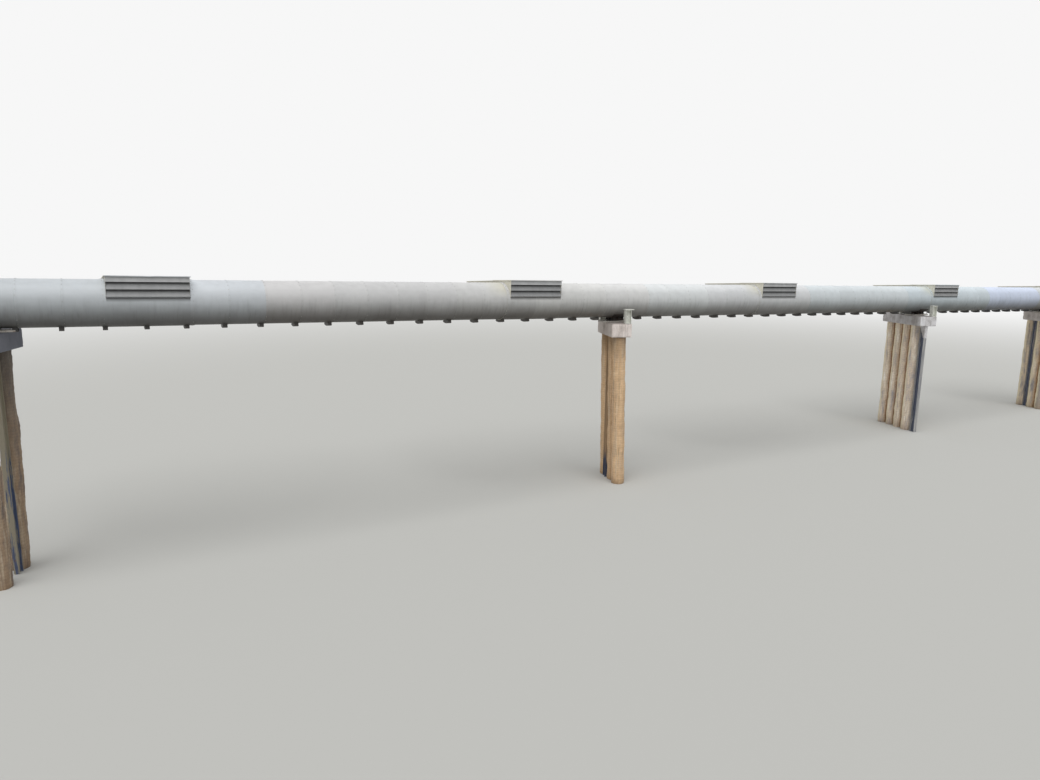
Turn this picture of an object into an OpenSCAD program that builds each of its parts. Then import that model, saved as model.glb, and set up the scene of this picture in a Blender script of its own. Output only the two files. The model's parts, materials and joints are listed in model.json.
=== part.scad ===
// Overhead pipeline crossing at half size. A sheet-clad insulated pipe falls gently
// over four skewed concrete pile piers and carries louvred vent boxes.
// Millimetres. X runs along the pipe, Y across it, Z up from the ground.

/* [Pipe] */
// Outside diameter of the cladding
pipe_d = 620; // [600:5:640]
// Outside diameter of the carrier pipe
carrier_d = 508; // [480:4:520]
// Wall of the carrier pipe
carrier_wall = 8; // [6:1:12]
// Thickness of the cladding sheet
sheet_t = 4; // [3:0.5:5]
// Cover of one cladding sheet along the pipe
sheet_len = 495; // [490:1:500]
// Number of cladding sheets
sheet_count = 55; // [55:1:56]
// Height of the pipe centre line above ground at mid length
axis_height = 3381; // [3200:1:3600]
// Fall of the pipe towards +X in degrees
fall = 1; // [0.6:0.1:1.4]
// Open joint between neighbouring sheets
joint_gap = 2; // [1:0.5:4]
// Length of the raised lap over the next sheet
lap_len = 20; // [16:1:30]
// Height of the raised lap
lap_h = 2; // [1.5:0.5:4]

/* [Seam flaps] */
// Length of the hood under the end of a sheet
flap_len = 58; // [46:2:70]
// Depth of the hood below the pipe
flap_drop = 50; // [36:1:60]
// Half wrap of the hood round the pipe in degrees
flap_wrap = 17; // [14:1:22]

/* [Vents] */
// Number of vent boxes
vent_count = 5; // [5:1:5]
// Sheets from one vent to the next
vent_every = 12; // [12:1:12]
// Joint on which the first vent is centred
vent_first = 5; // [5:1:5]
// Length of a vent box along the pipe
vent_len = 1000; // [960:5:1010]
// Stand of the louvred face beyond the side of the pipe
vent_proud = 5; // [3:1:10]
// Reach of the vent box past the far side of the pipe
vent_reach = 1050; // [980:5:1100]
// Height of the roof over the top of the pipe
vent_rise = 56; // [50:1:66]
// Slope of the roof away from the louvred face in degrees
roof_fall = 3; // [2:0.25:3.5]
// Spacing of the louvre blades
blade_pitch = 98; // [94:1:100]
// Blades under the fascia of the near face
blade_count = 2; // [2:1:2]
// Depth of the fascia
fascia_h = 76; // [70:1:80]
// Thickness of the vent sheet metal
vent_t = 5; // [4:0.5:6]
// Thickness of the roof sheets
roof_t = 5; // [4:0.5:6]
// Overhang of the roof
roof_over = 14; // [13:1:18]
// Turned-down edge of the roof
roof_hem = 9; // [6:1:12]
// Collar of the sleeve past each end of the vent box
collar_w = 60; // [40:5:80]

/* [Piers] */
// Place of pier 1, in sheets from the high end
pier_1_at = 1.33; // [1.3:0.01:1.36]
// Place of pier 2, in sheets from the high end
pier_2_at = 20.865; // [20.8:0.005:20.95]
// Place of pier 3, in sheets from the high end
pier_3_at = 39.72; // [39.65:0.01:39.8]
// Place of pier 4, in sheets from the high end
pier_4_at = 51.85; // [51.8:0.01:51.88]
// Turn of the piers against the pipe in degrees
skew = 20; // [16:1:24]
// Width of a short pier cap
cap_w = 380; // [370:5:400]
// Width of the long pier cap
cap_long_w = 446; // [430:2:460]
// Depth of a short pier cap
cap_h = 250; // [230:5:270]
// Depth of the long pier cap
cap_long_h = 232; // [220:2:250]
// Chamfer along the edges of the caps
cap_edge = 7; // [4:1:12]
// Gap from the cladding down to the top of the caps of piers 2 to 4
seat_gap = 82; // [76:1:90]
// Gap from the cladding down to the top of the cap of pier 1
seat_1_gap = 44; // [43:1:60]
// Diameter of a concrete pile
pile_d = 250; // [236:2:254]
// Unevenness of the cast piles
pile_lump = 9; // [0:1:12]
// Cap beyond the face of an end pile
pile_edge = 24; // [16:1:30]
// Gap between neighbouring piles of a short cap
pile_gap = 16; // [10:1:20]
// Gap between neighbouring piles of the long cap
pile_long_gap = 40; // [36:1:42]
// Step where a pile was cast narrower towards its top
pile_step = 26; // [16:1:34]
// Depth of the steel post section
post_h = 118; // [104:2:120]
// Flange width of the steel post section
post_w = 64; // [56:2:76]
// Flange and web thickness of the steel post section
post_t = 7; // [5:1:9]
// Depth of the post section at pier 3
post_3_h = 150; // [130:2:160]
// Flange width of the post section at pier 3
post_3_w = 78; // [70:2:86]
// Height of the haunch round the post head of pier 3
haunch_h = 300; // [260:5:330]

/* [Seats] */
// Length of the sole plate along the pipe
sole_len = 600; // [560:5:620]
// Width of the sole plate
sole_w = 230; // [220:2:250]
// Thickness of the sole plate
sole_t = 24; // [18:1:28]
// Thickness of the slide pad
pad_t = 8; // [6:1:10]
// Length of the cradle along the pipe
cradle_len = 300; // [260:5:320]
// Half wrap of the cradle in degrees
cradle_wrap = 40; // [34:1:46]
// Plate thickness of cradle and ribs
plate_t = 10; // [8:1:12]
// Distance between the ribs of a saddle
rib_step = 110; // [100:2:116]
// Size of the guide stub section
guide_s = 110; // [104:2:116]
// Height of the guide stub above the cap
guide_h = 250; // [236:2:262]
// Clear way from the side of the pipe to the guides of piers 2 and 4
guide_gap = 56; // [50:1:64]
// Clear way from the side of the pipe to the guides of pier 1
guide_1_gap = 16; // [14:1:24]
// Clear way from the side of the pipe to the guides of pier 3
guide_3_gap = 105; // [98:1:112]

/* [Hidden] */
$fn = 96;
pipe_r = pipe_d / 2;
clad_ri = pipe_r - sheet_t;
lap_r = pipe_r + lap_h;
sleeve_r = lap_r + vent_t;
total_len = sheet_len * sheet_count;
x0 = -total_len / 2;
end_inset = 8;
carrier_out = 30;
bevel = 3;
slip = 0.3;
overlap = 1;
far = 2 * pipe_d;
flap_side = 1;

vent_near = pipe_r + vent_proud;
vent_far = pipe_r + vent_reach;
vent_top = pipe_r + vent_rise;
blade_gap = 12;
blade_lap = 4;
vent_foot = vent_top - fascia_h - blade_count * blade_pitch - blade_gap;
drip = 8;
recess = 34;
roof_lap = 45;
roof_joint = pipe_r - 40;
rail_s = 40;

saddle_clear = 10;
lap_clear = 0.5;
guide_t = 7;
guide_in = 65;
guide_side = 68;
near_lug = 8;
far_lug = [48, 48, 8, 48];
rib_len = rib_step * 2.5;
rib_row = rib_step * 0.75;

post_clear = 2.5;
post_in = 125;
post_room = 246;
post_shift = [-20, -40, 0, -40];
haunch_out = 4;
haunch_foot = 24;
haunch_back = 30;
pile_rings = 14;
lump_turn = [143, 61, 97];
pile_lean = [[0.3, 1.6], [-1.5, -1.5, -1.3], [0, 0, 0, 0], [0, 0, 0]];
pile_shift = [[0, 0], [0, 0, -25], [0, 0, 0, -25], [0, 0, 0]];
shoulder = [[0, 0.33], [0, 0, 0], [0, 0, 0, 0], [0, 0, 0]];
end_in = pile_d / 2 + pile_edge;
short_len = max(2 * guide_in + 2 * (guide_y(1) - (cap_w / 2 - guide_side) * sin(skew)) / cos(skew),
    2 * end_in + 2 * pile_d + pile_gap + post_h + 2 * post_clear);
long_len = 2 * end_in + 3 * (pile_d + pile_long_gap) + post_room;
pier_x = [for (p = [pier_1_at, pier_2_at, pier_3_at, pier_4_at]) joint_x(p)];
pier_len = [short_len, short_len, long_len, short_len];
pier_w = [cap_w, cap_w, cap_long_w, cap_w];
pier_h = [cap_h, cap_h, cap_long_h, cap_h];

y_max = max(vent_far + roof_over,
    pier_y(2) + long_len / 2 * cos(skew) + cap_long_w / 2 * sin(skew));
y_min = min(-guide_y(2) - (guide_s / 2 + far_lug[2]) * sin(skew)
        - (guide_s / 2 + near_lug) * cos(skew),
    pier_y(2) - long_len / 2 * cos(skew) - cap_long_w / 2 * sin(skew));
y_mid = (y_max + y_min) / 2;

function axis_z(x) = axis_height - x * tan(fall);
function joint_x(j) = x0 + j * sheet_len;
function vent_x(k) = joint_x(vent_first + vent_every * k);
function seat_r(k) = pipe_r + (k == 0 ? seat_1_gap : seat_gap);
function cap_top(k) = axis_z(pier_x[k]) - seat_r(k);
function cap_foot(k) = cap_top(k) - pier_h[k];

function near_saddle(x1, x2) = len([for (p = pier_x)
    if (p > x1 - cradle_len / 2 - saddle_clear && p < x2 + cradle_len / 2 + saddle_clear) p]) > 0;

function roof_z(y) = vent_top - (y + vent_near) * tan(roof_fall);
function on_line(p, q, y) = p.y + (q.y - p.y) * (y - p.x) / (q.x - p.x);

function guide_y(k) = pipe_r + guide_s / 2 + [guide_1_gap, guide_gap, guide_3_gap, guide_gap][k];
function guide_x(k) = (pier_len[k] / 2 - guide_in) * sin(skew) - guide_right(k) * cos(skew);
function guide_right(k) = pier_w[k] / 2 - guide_side;
// each cap reaches its near guide, so it is shifted across the pipe to suit
function pier_y(k) = guide_right(k) * sin(skew) + (pier_len[k] / 2 - guide_in) * cos(skew)
    - guide_y(k);

function pile_places(k) =
    k == 0 ? [end_in, short_len - end_in] :
    k == 2 ? [for (i = [3:-1:0]) long_len - end_in - i * (pile_d + pile_long_gap)] :
    [end_in, end_in + pile_d + pile_gap, short_len - end_in];
function post_place(k) = k == 2 ? post_in : (short_len + pile_d + pile_gap) / 2;
function post_size(k) = k == 2 ? [post_3_w, post_3_h] : [post_w, post_h];

function lump(k, i, j) = pile_lump * (1 + sin(lump_turn * [k, i, j])) / 2;
function narrow(k, i, s) = shoulder[k][i] > 0 && s > 1 - shoulder[k][i] ? pile_step : 0;
function pile_r(k, i, j, s) = pile_d / 2 - lump(k, i, j) - narrow(k, i, s);

module on_pipe() {
    translate([0, -y_mid, axis_height]) rotate([0, fall, 0]) children();
}

module on_ground(k) {
    translate([pier_x[k], pier_y(k) - y_mid, 0]) rotate([0, 0, -skew])
        translate([0, -pier_len[k] / 2, 0]) children();
}

module on_cap(k) {
    translate([pier_x[k], -y_mid, cap_top(k)]) children();
}

module rod_x(r, x1, x2) {
    translate([x1, 0, 0]) rotate([0, 90, 0]) cylinder(r = r, h = x2 - x1);
}

module across(x, length) {
    translate([x, 0, 0]) rotate([90, 0, 90]) linear_extrude(length) children();
}

module carrier_pipe() {
    ro = carrier_d / 2;
    ri = ro - carrier_wall;
    l = total_len + 2 * carrier_out;
    color("dimgray") on_pipe() translate([-l / 2, 0, 0]) rotate([0, 90, 0]) rotate_extrude()
        polygon([[ri, 0], [ro - bevel, 0], [ro, bevel], [ro, l - bevel], [ro - bevel, l], [ri, l]]);
}

module insulation() {
    color("khaki") on_pipe() difference() {
        rod_x(clad_ri, x0 + end_inset, -x0 - end_inset);
        rod_x(carrier_d / 2, x0 - end_inset, -x0 + end_inset);
    }
}

// each sheet ends in a swaged lap that covers the start of the next one
module sheet(j) {
    l = sheet_len - joint_gap;
    over = j < sheet_count - 1 ? joint_gap + lap_len : 0;
    translate([joint_x(j), 0, 0]) rotate([0, 90, 0]) rotate_extrude()
        polygon([[clad_ri, 0], [pipe_r, 0], [pipe_r, l - sheet_t], [lap_r, l],
            [lap_r, l + over], [pipe_r + slip, l + over], [pipe_r + slip, l], [clad_ri, l]]);
}

module cladding(x1, x2) {
    color("gainsboro") on_pipe() for (j = [0:sheet_count - 1])
        if (joint_x(j + 0.5) >= x1 && joint_x(j + 0.5) < x2) sheet(j);
}

// the lowest part of a disc, a half wrap to each side of straight down
module under_sector(r, wrap) {
    intersection() {
        circle(r);
        polygon([[0, 0], [-far * sin(wrap), -far * cos(wrap)],
            [far * sin(wrap), -far * cos(wrap)]]);
    }
}

// a curved hood, closed towards -X, that shields the seam from below
module flap(x) {
    difference() {
        across(x, flap_len) under_sector(pipe_r + flap_drop, flap_wrap);
        across(x + sheet_t, flap_len)
            under_sector(pipe_r + flap_drop - sheet_t, flap_wrap - flap_side);
        rod_x(pipe_r, x - sheet_len, x + sheet_len);
        rod_x(lap_r, x + flap_len - joint_gap - sheet_t, x + sheet_len);
        for (k = [0:vent_count - 1]) if (abs(vent_x(k) - x) < vent_len)
            rod_x(sleeve_r, vent_x(k) - vent_len / 2 - collar_w, vent_x(k) + vent_len / 2 + collar_w);
    }
}

module seam_flaps() {
    color("gray") on_pipe() for (j = [1:sheet_count - 1]) {
        x = joint_x(j) - flap_len;
        if (!near_saddle(x, x + flap_len)) flap(x);
    }
}

// a full wrap under each vent box, cut away where the box and the saddles stand
module vent_sleeves() {
    l = vent_len + collar_w * 2;
    color("darkgray") on_pipe() for (k = [0:vent_count - 1]) difference() {
        rod_x(sleeve_r, vent_x(k) - l / 2, vent_x(k) + l / 2);
        rod_x(lap_r, vent_x(k) - l, vent_x(k) + l);
        translate([vent_x(k) - vent_len / 2, -far, vent_foot]) cube([vent_len, far * 2, far]);
        for (p = pier_x) if (abs(p - vent_x(k)) < l)
            translate([p - cradle_len / 2 - saddle_clear, -far,
                2 * saddle_clear - pipe_r * cos(cradle_wrap) - far])
                    cube([cradle_len + saddle_clear * 2, far * 2, far]);
    }
}

module cheek_outline() {
    polygon([[-vent_near, vent_foot], [vent_far, vent_foot], [vent_far, roof_z(vent_far)],
        [-vent_near, roof_z(-vent_near)]]);
}

// bent sheet leaning outwards from its top at y to its foot, s is -1 near or +1 far
module fascia_outline(y, s) {
    z = roof_z(y);
    polygon([[y, z], [y + s * drip, z - fascia_h], [y + s * (drip - vent_t), z - fascia_h],
        [y - s * vent_t, z]]);
}

module blade_outline(y, s, z) {
    top = z + blade_pitch + blade_lap;
    polygon([[y - s * recess, top], [y + s * drip, z + drip], [y + s * drip, z],
        [y + s * (drip - vent_t), z], [y + s * (drip - vent_t), z + drip],
        [y - s * (recess + vent_t), top]]);
}

module rail_outline() {
    a = roof_joint - rail_s / 2;
    b = roof_joint + rail_s / 2;
    m = roof_joint;
    polygon([[a, roof_z(a)], [a, roof_z(a) - vent_t], [m - vent_t / 2, roof_z(m) - vent_t],
        [m - vent_t / 2, roof_z(m) - rail_s], [m + vent_t / 2, roof_z(m) - rail_s],
        [m + vent_t / 2, roof_z(m) - vent_t], [b, roof_z(b) - vent_t], [b, roof_z(b)]]);
}

module vent_housing(k) {
    x1 = vent_x(k) - vent_len / 2;
    color("silver") on_pipe() difference() {
        union() {
            across(x1, vent_t) cheek_outline();
            across(x1 + vent_len - vent_t, vent_t) cheek_outline();
            across(x1, vent_len) fascia_outline(-vent_near, -1);
            across(x1, vent_len) fascia_outline(vent_far, 1);
            across(x1, vent_len) rail_outline();
        }
        rod_x(lap_r, x1 - vent_len, x1 + vent_len * 2);
    }
}

module vent_louvres(k) {
    x1 = vent_x(k) - vent_len / 2 + vent_t;
    near_z = roof_z(-vent_near) - fascia_h;
    far_z = roof_z(vent_far) - fascia_h;
    color("darkgray") on_pipe() for (i = [1:blade_count]) {
        across(x1, vent_len - vent_t * 2) blade_outline(-vent_near, -1, near_z - i * blade_pitch);
        if (i < blade_count) across(x1, vent_len - vent_t * 2)
            blade_outline(vent_far, 1, far_z - i * blade_pitch);
    }
}

// a tray with turned-down sides whose underside runs from p to q across the pipe
module roof_sheet(k, over, p, q, near_hem, far_hem) {
    l = vent_len + over * 2;
    a = p.x + (near_hem ? roof_t : -overlap);
    b = q.x - (far_hem ? roof_t : -overlap);
    difference() {
        across(vent_x(k) - l / 2, l) polygon([[p.x, p.y - roof_hem], [q.x, q.y - roof_hem],
            [q.x, q.y + roof_t], [p.x, p.y + roof_t]]);
        across(vent_x(k) - l / 2 + roof_t, l - roof_t * 2) polygon([[a, p.y - far],
            [b, p.y - far], [b, on_line(p, q, b)], [a, on_line(p, q, a)]]);
    }
}

// the near sheet laps over the far one, which lies a sheet lower and inside its sides
module vent_roof(k) {
    y1 = -vent_near - roof_over;
    y2 = roof_joint;
    y3 = vent_far + roof_over;
    p = [-vent_near, roof_z(-vent_near)];
    q = [y2, roof_z(y2) + roof_t];
    color("gainsboro") on_pipe() {
        roof_sheet(k, roof_over, [y1, on_line(p, q, y1)],
            [y2 + roof_lap, on_line(p, q, y2 + roof_lap)], true, false);
        roof_sheet(k, roof_over - roof_t - overlap, [y2, roof_z(y2)], [y3, roof_z(y3)], false, true);
    }
}

// cast piles, uneven along their length, a few of them narrower towards the top
module pile(k, i) {
    h = cap_foot(k);
    step = (h + pile_d) / pile_rings;
    translate([0, 0, h]) rotate([0, pile_lean[k][i], 0]) translate([0, 0, -h - pile_d / 2])
        rotate_extrude() polygon(concat([[0, 0]],
            [for (j = [0:pile_rings]) [pile_r(k, i, j, (j * step - pile_d / 2) / h), j * step]],
            [[0, h + pile_d]]));
}

module pier_piles(k) {
    p = pile_places(k);
    color("tan") on_ground(k) intersection() {
        for (i = [0:len(p) - 1]) translate([pile_shift[k][i], p[i], 0]) pile(k, i);
        translate([-far, -far, 0]) cube([far * 2, far * 4, cap_foot(k)]);
    }
}

module pier_cap(k) {
    w = pier_w[k] / 2;
    c = cap_edge;
    color("lightgray") on_ground(k) translate([0, pier_len[k], cap_foot(k)]) rotate([90, 0, 0])
        linear_extrude(pier_len[k]) polygon([[-w, c], [-w + c, 0], [w - c, 0], [w, c],
            [w, pier_h[k] - c], [w - c, pier_h[k]], [-w + c, pier_h[k]], [-w, pier_h[k] - c]]);
}

module post_section(size) {
    for (y = [-size.y / 2, size.y / 2 - post_t])
        translate([-size.x / 2, y]) square([size.x, post_t]);
    translate([-post_t / 2, -size.y / 2]) square([post_t, size.y]);
}

// a cast haunch round the post head, plumb on the near side and sloping up on the far side
module haunch_block() {
    b = post_3_h / 2;
    on_ground(2) translate([0, post_in, cap_foot(2) - haunch_h]) rotate([90, 0, 90])
        linear_extrude(post_3_w + haunch_out * 2, center = true)
            polygon([[-b - haunch_out, 0], [-b + haunch_foot, 0],
                [b + haunch_back, haunch_h], [-b - haunch_out, haunch_h]]);
}

module pier_post(k) {
    color("darkslategray") difference() {
        on_ground(k) translate([post_shift[k], post_place(k), 0])
            linear_extrude(cap_foot(k)) post_section(post_size(k));
        if (k == 2) haunch_block();
    }
}

module pier_3_haunch() {
    color("lightgray") haunch_block();
}

module pier_bearing(k) {
    color("silver") on_cap(k) translate([-sole_len / 2, -sole_w / 2, 0])
        cube([sole_len, sole_w, sole_t]);
}

module saddle_ribs(k) {
    top = seat_r(k) - sole_t;
    for (i = [-1:1]) {
        translate([-rib_len / 2, i * rib_row - plate_t / 2, pad_t])
            cube([rib_len, plate_t, top]);
        translate([i * rib_step - plate_t / 2, -sole_w / 2, pad_t])
            cube([plate_t, sole_w, top]);
    }
}

module cradle(k) {
    across(pier_x[k] - cradle_len / 2, cradle_len) under_sector(pipe_r + plate_t, cradle_wrap);
}

module pier_saddle(k) {
    color("dimgray") difference() {
        union() {
            on_cap(k) translate([0, 0, sole_t]) {
                translate([-rib_step, -sole_w / 2 + pad_t, 0])
                    cube([rib_step * 2, sole_w - pad_t * 2, pad_t]);
                translate([-rib_len / 2, -sole_w / 2, pad_t]) cube([rib_len, sole_w, plate_t]);
                saddle_ribs(k);
            }
            on_pipe() cradle(k);
        }
        on_pipe() rod_x(pipe_r, pier_x[k] - sheet_len, pier_x[k] + sheet_len);
        on_pipe() for (j = [1:sheet_count - 1]) if (abs(joint_x(j) - pier_x[k]) < sheet_len)
            rod_x(lap_r + lap_clear, joint_x(j) - joint_gap - sheet_t - lap_clear,
                joint_x(j) + lap_len + lap_clear);
    }
}

// an H section whose web faces along the cap, under a plate that sticks out by a lug
module guide(lug) {
    difference() {
        translate([-guide_s / 2, -guide_s / 2, 0]) cube([guide_s, guide_s, guide_h]);
        for (s = [-1, 1]) translate([-guide_s / 2 + guide_t, s * (guide_s + guide_t) / 2 - guide_s / 2,
            plate_t]) cube([guide_s - guide_t * 2, guide_s, guide_h - plate_t * 2]);
    }
    translate([-guide_s / 2 - near_lug, -guide_s / 2 - near_lug, guide_h])
        cube([guide_s + near_lug + lug, guide_s + near_lug * 2, plate_t]);
}

module pier_guides(k) {
    color("lightsteelblue") on_cap(k) for (s = [0, 180]) rotate([0, 0, s])
        translate([-guide_x(k), -guide_y(k), 0]) rotate([0, 0, -skew]) guide(far_lug[k]);
}

carrier_pipe();
insulation();
cladding(x0, pier_x[1]);  // cladding_bay_1
cladding(pier_x[1], pier_x[2]);  // cladding_bay_2
cladding(pier_x[2], -x0);  // cladding_bay_3
seam_flaps();
vent_sleeves();
vent_housing(0);  // vent_1_housing
vent_louvres(0);  // vent_1_louvres
vent_roof(0);  // vent_1_roof
vent_housing(1);  // vent_2_housing
vent_louvres(1);  // vent_2_louvres
vent_roof(1);  // vent_2_roof
vent_housing(2);  // vent_3_housing
vent_louvres(2);  // vent_3_louvres
vent_roof(2);  // vent_3_roof
vent_housing(3);  // vent_4_housing
vent_louvres(3);  // vent_4_louvres
vent_roof(3);  // vent_4_roof
vent_housing(4);  // vent_5_housing
vent_louvres(4);  // vent_5_louvres
vent_roof(4);  // vent_5_roof
pier_piles(0);  // pier_1_piles
pier_cap(0);  // pier_1_cap
pier_post(0);  // pier_1_post
pier_bearing(0);  // pier_1_bearing
pier_saddle(0);  // pier_1_saddle
pier_guides(0);  // pier_1_guides
pier_piles(1);  // pier_2_piles
pier_cap(1);  // pier_2_cap
pier_post(1);  // pier_2_post
pier_bearing(1);  // pier_2_bearing
pier_saddle(1);  // pier_2_saddle
pier_guides(1);  // pier_2_guides
pier_piles(2);  // pier_3_piles
pier_cap(2);  // pier_3_cap
pier_post(2);  // pier_3_post
pier_3_haunch();
pier_bearing(2);  // pier_3_bearing
pier_saddle(2);  // pier_3_saddle
pier_guides(2);  // pier_3_guides
pier_piles(3);  // pier_4_piles
pier_cap(3);  // pier_4_cap
pier_post(3);  // pier_4_post
pier_bearing(3);  // pier_4_bearing
pier_saddle(3);  // pier_4_saddle
pier_guides(3);  // pier_4_guides
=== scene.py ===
# %% [markdown]
# This is an insulated pipeline, carried overhead on concrete piers, as a half-size model in
# metres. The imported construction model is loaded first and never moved. This script gives every
# part its finish, adds the small pieces that a close look would find, and sets up a plain studio.

# %% Load the construction model
import json
import math

import bpy
import numpy as np
from mathutils import Euler, Matrix, Vector, noise
from mathutils.bvhtree import BVHTree


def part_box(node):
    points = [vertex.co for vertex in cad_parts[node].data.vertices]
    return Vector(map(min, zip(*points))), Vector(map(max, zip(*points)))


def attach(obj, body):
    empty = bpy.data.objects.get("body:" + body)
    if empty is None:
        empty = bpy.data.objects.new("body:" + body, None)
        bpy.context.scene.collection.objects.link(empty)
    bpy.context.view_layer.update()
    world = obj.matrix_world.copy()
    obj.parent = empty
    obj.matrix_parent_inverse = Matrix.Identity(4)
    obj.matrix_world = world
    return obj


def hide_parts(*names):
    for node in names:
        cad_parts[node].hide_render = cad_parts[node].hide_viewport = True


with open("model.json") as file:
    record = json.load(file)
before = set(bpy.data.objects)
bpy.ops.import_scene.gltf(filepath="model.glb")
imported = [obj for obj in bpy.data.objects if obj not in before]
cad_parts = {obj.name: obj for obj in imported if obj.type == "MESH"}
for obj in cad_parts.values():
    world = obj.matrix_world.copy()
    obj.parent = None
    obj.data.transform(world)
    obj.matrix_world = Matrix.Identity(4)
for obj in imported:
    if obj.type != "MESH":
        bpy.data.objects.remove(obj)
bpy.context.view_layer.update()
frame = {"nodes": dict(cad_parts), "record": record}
bpy.ops.object.select_all(action="DESELECT")

# %% [markdown]
# The pipe falls gently towards +X, so most patterns and pieces are laid out along the pipe
# itself. Its axis is found from the box of the carrier pipe, which is symmetrical about its
# middle. PIPE is the matrix that takes a piece built round the X axis to its place. The piers
# have weathered differently, so finishes tell them apart by their place along X.

# %% Where the pipe, the vents and the piers are
FALL = math.radians(1.0)
PIPE_R = 0.31
SHEET = 0.495
SHEETS = 55
low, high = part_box("carrier_pipe")
PIPE_MID = (low + high) / 2
PIPE_START = -SHEET * SHEETS / 2
PIPE = Matrix.Translation(PIPE_MID) @ Matrix.Rotation(FALL, 4, "Y")
SHEETS_TO_VENT, SHEETS_BETWEEN = 5, 12
VENTS = [PIPE_START + SHEET * (SHEETS_TO_VENT + SHEETS_BETWEEN * k) for k in range(5)]
VENT_HALF = 0.5
PIERS = (1, 2, 3, 4)
SECOND_PIER = -3.28
ON_FIRST = (-11.0, -12.0)  # what fades in from here to there is on the first pier only
PAST_FIRST = (-6.0, -5.0)
UP_TO_SECOND = (2.0, 1.0)
PAST_SECOND = (2.0, 3.0)
CROSSING_END = 14.0
print("pipe middle:", PIPE_MID, "vents at:", [round(v, 3) for v in VENTS])

# %% [markdown]
# Colours are written as sRGB hex values, the way they are read off a picture, and turned to the
# linear values that Blender works with. One helper adds any node with its settings, its links
# and, where it has a colour ramp, the ramp's stops. Another leads a node into a shader.

# %% Colour and node helpers
def linear(hex_colour):
    parts = [int(hex_colour[i:i + 2], 16) / 255 for i in (1, 3, 5)]
    return [p / 12.92 if p <= 0.04045 else ((p + 0.055) / 1.055) ** 2.4 for p in parts] + [1.0]


def first_output(node):
    return next(socket for socket in node.outputs if socket.enabled)


def add(tree, kind, inputs=None, stops=None, between="LINEAR", **settings):
    node = tree.nodes.new("ShaderNode" + kind)
    for name, value in settings.items():
        setattr(node, name, value)
    if stops:
        elements = node.color_ramp.elements
        node.color_ramp.interpolation = between
        while len(elements) < len(stops):
            elements.new(1.0)
        for element, (place, colour) in zip(elements, stops):
            element.position = place
            element.color = linear(colour) if isinstance(colour, str) else colour
    for key, value in (inputs or {}).items():
        if isinstance(value, bpy.types.Node):
            value = first_output(value)
        if isinstance(value, bpy.types.NodeSocket):
            tree.links.new(value, node.inputs[key])
        else:
            node.inputs[key].default_value = linear(value) if isinstance(value, str) else value
    return node


def wire(tree, node, target, socket):
    tree.links.new(first_output(node), target.inputs[socket])


def new_material(name, roughness, metallic=0.0, colour="#808080"):
    material = bpy.data.materials.new(name)
    material.use_nodes = True
    shader = material.node_tree.nodes["Principled BSDF"]
    shader.inputs["Base Color"].default_value = linear(colour)
    shader.inputs["Roughness"].default_value = roughness
    shader.inputs["Metallic"].default_value = metallic
    return material, material.node_tree, shader


print("helpers ready, mid grey is", round(linear("#808080")[0], 3))

# %% [markdown]
# The stage is a wide pale floor, like matt painted board: it takes a soft shadow and shows no
# shine. Far from the object it fades to the white behind it, so that no horizon line cuts across
# the picture.

# %% Floor
BACKDROP = (0.93, 0.93, 0.93, 1)
FLOOR_SIZE = 600
FADE_FROM, FADE_TO = 16.0, 60.0
bpy.ops.mesh.primitive_plane_add(size=FLOOR_SIZE)
floor = bpy.context.object
floor.name = "floor"
floor_finish, tree, shader = new_material("matt_studio_floor", 0.9, colour="#bdbdb9")
distance = add(tree, "VectorMath", {0: add(tree, "TexCoord").outputs["Object"]}, operation="LENGTH")
fade = add(tree, "MapRange", {0: distance.outputs["Value"], 1: FADE_FROM, 2: FADE_TO},
           interpolation_type="SMOOTHSTEP")
glow = add(tree, "Emission", {"Color": BACKDROP, "Strength": 1.0})
to_camera = add(tree, "LightPath").outputs["Is Camera Ray"]
fade = add(tree, "Math", {0: fade, 1: to_camera}, operation="MULTIPLY")
faded = add(tree, "MixShader", {0: fade, 1: shader, 2: glow})
wire(tree, faded, tree.nodes["Material Output"], "Surface")
floor.data.materials.append(floor_finish)
print("floor fades out between", FADE_FROM, "and", FADE_TO, "m")

# %% [markdown]
# The sky lights everything softly, and one large soft sun from above gives the pipe its bright
# back and dark belly. What the camera sees behind the object is white, and so is what shiny
# metal mirrors, while the sky that lights the object stays dimmer.

# %% Sky and sun
SKY_STRENGTH, SUN_STRENGTH = 0.42, 2.1
SUN_WIDTH = math.radians(60)
world = bpy.data.worlds.new("soft_sky")
bpy.context.scene.world = world
world.use_nodes = True
tree = world.node_tree
sky = tree.nodes["Background"]
sky.inputs["Color"].default_value = (1, 1, 1, 1)
sky.inputs["Strength"].default_value = SKY_STRENGTH
backdrop = add(tree, "Background", {"Color": BACKDROP, "Strength": 1.0})
path = add(tree, "LightPath")
seen = path.outputs["Is Camera Ray"]
for kind in ("Is Glossy Ray", "Is Transmission Ray"):
    seen = add(tree, "Math", {0: seen, 1: path.outputs[kind]}, operation="MAXIMUM")
mixed = add(tree, "MixShader", {0: seen, 1: sky, 2: backdrop})
wire(tree, mixed, tree.nodes["World Output"], "Surface")

sun_data = bpy.data.lights.new("soft_sun", "SUN")
sun_data.energy = SUN_STRENGTH
sun_data.angle = SUN_WIDTH
sun = bpy.data.objects.new("soft_sun", sun_data)
sun.rotation_euler = Euler((math.radians(22), math.radians(-14), 0))
bpy.context.collection.objects.link(sun)
print("sun energy:", sun_data.energy)

# %% [markdown]
# The camera stands beside the crossing near its left end, a little above the pipe. It looks
# down about ten degrees and leans slightly, as the photograph does. The focal length was found
# in pixels of the photograph, and the sensor's width turns it into millimetres.

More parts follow.
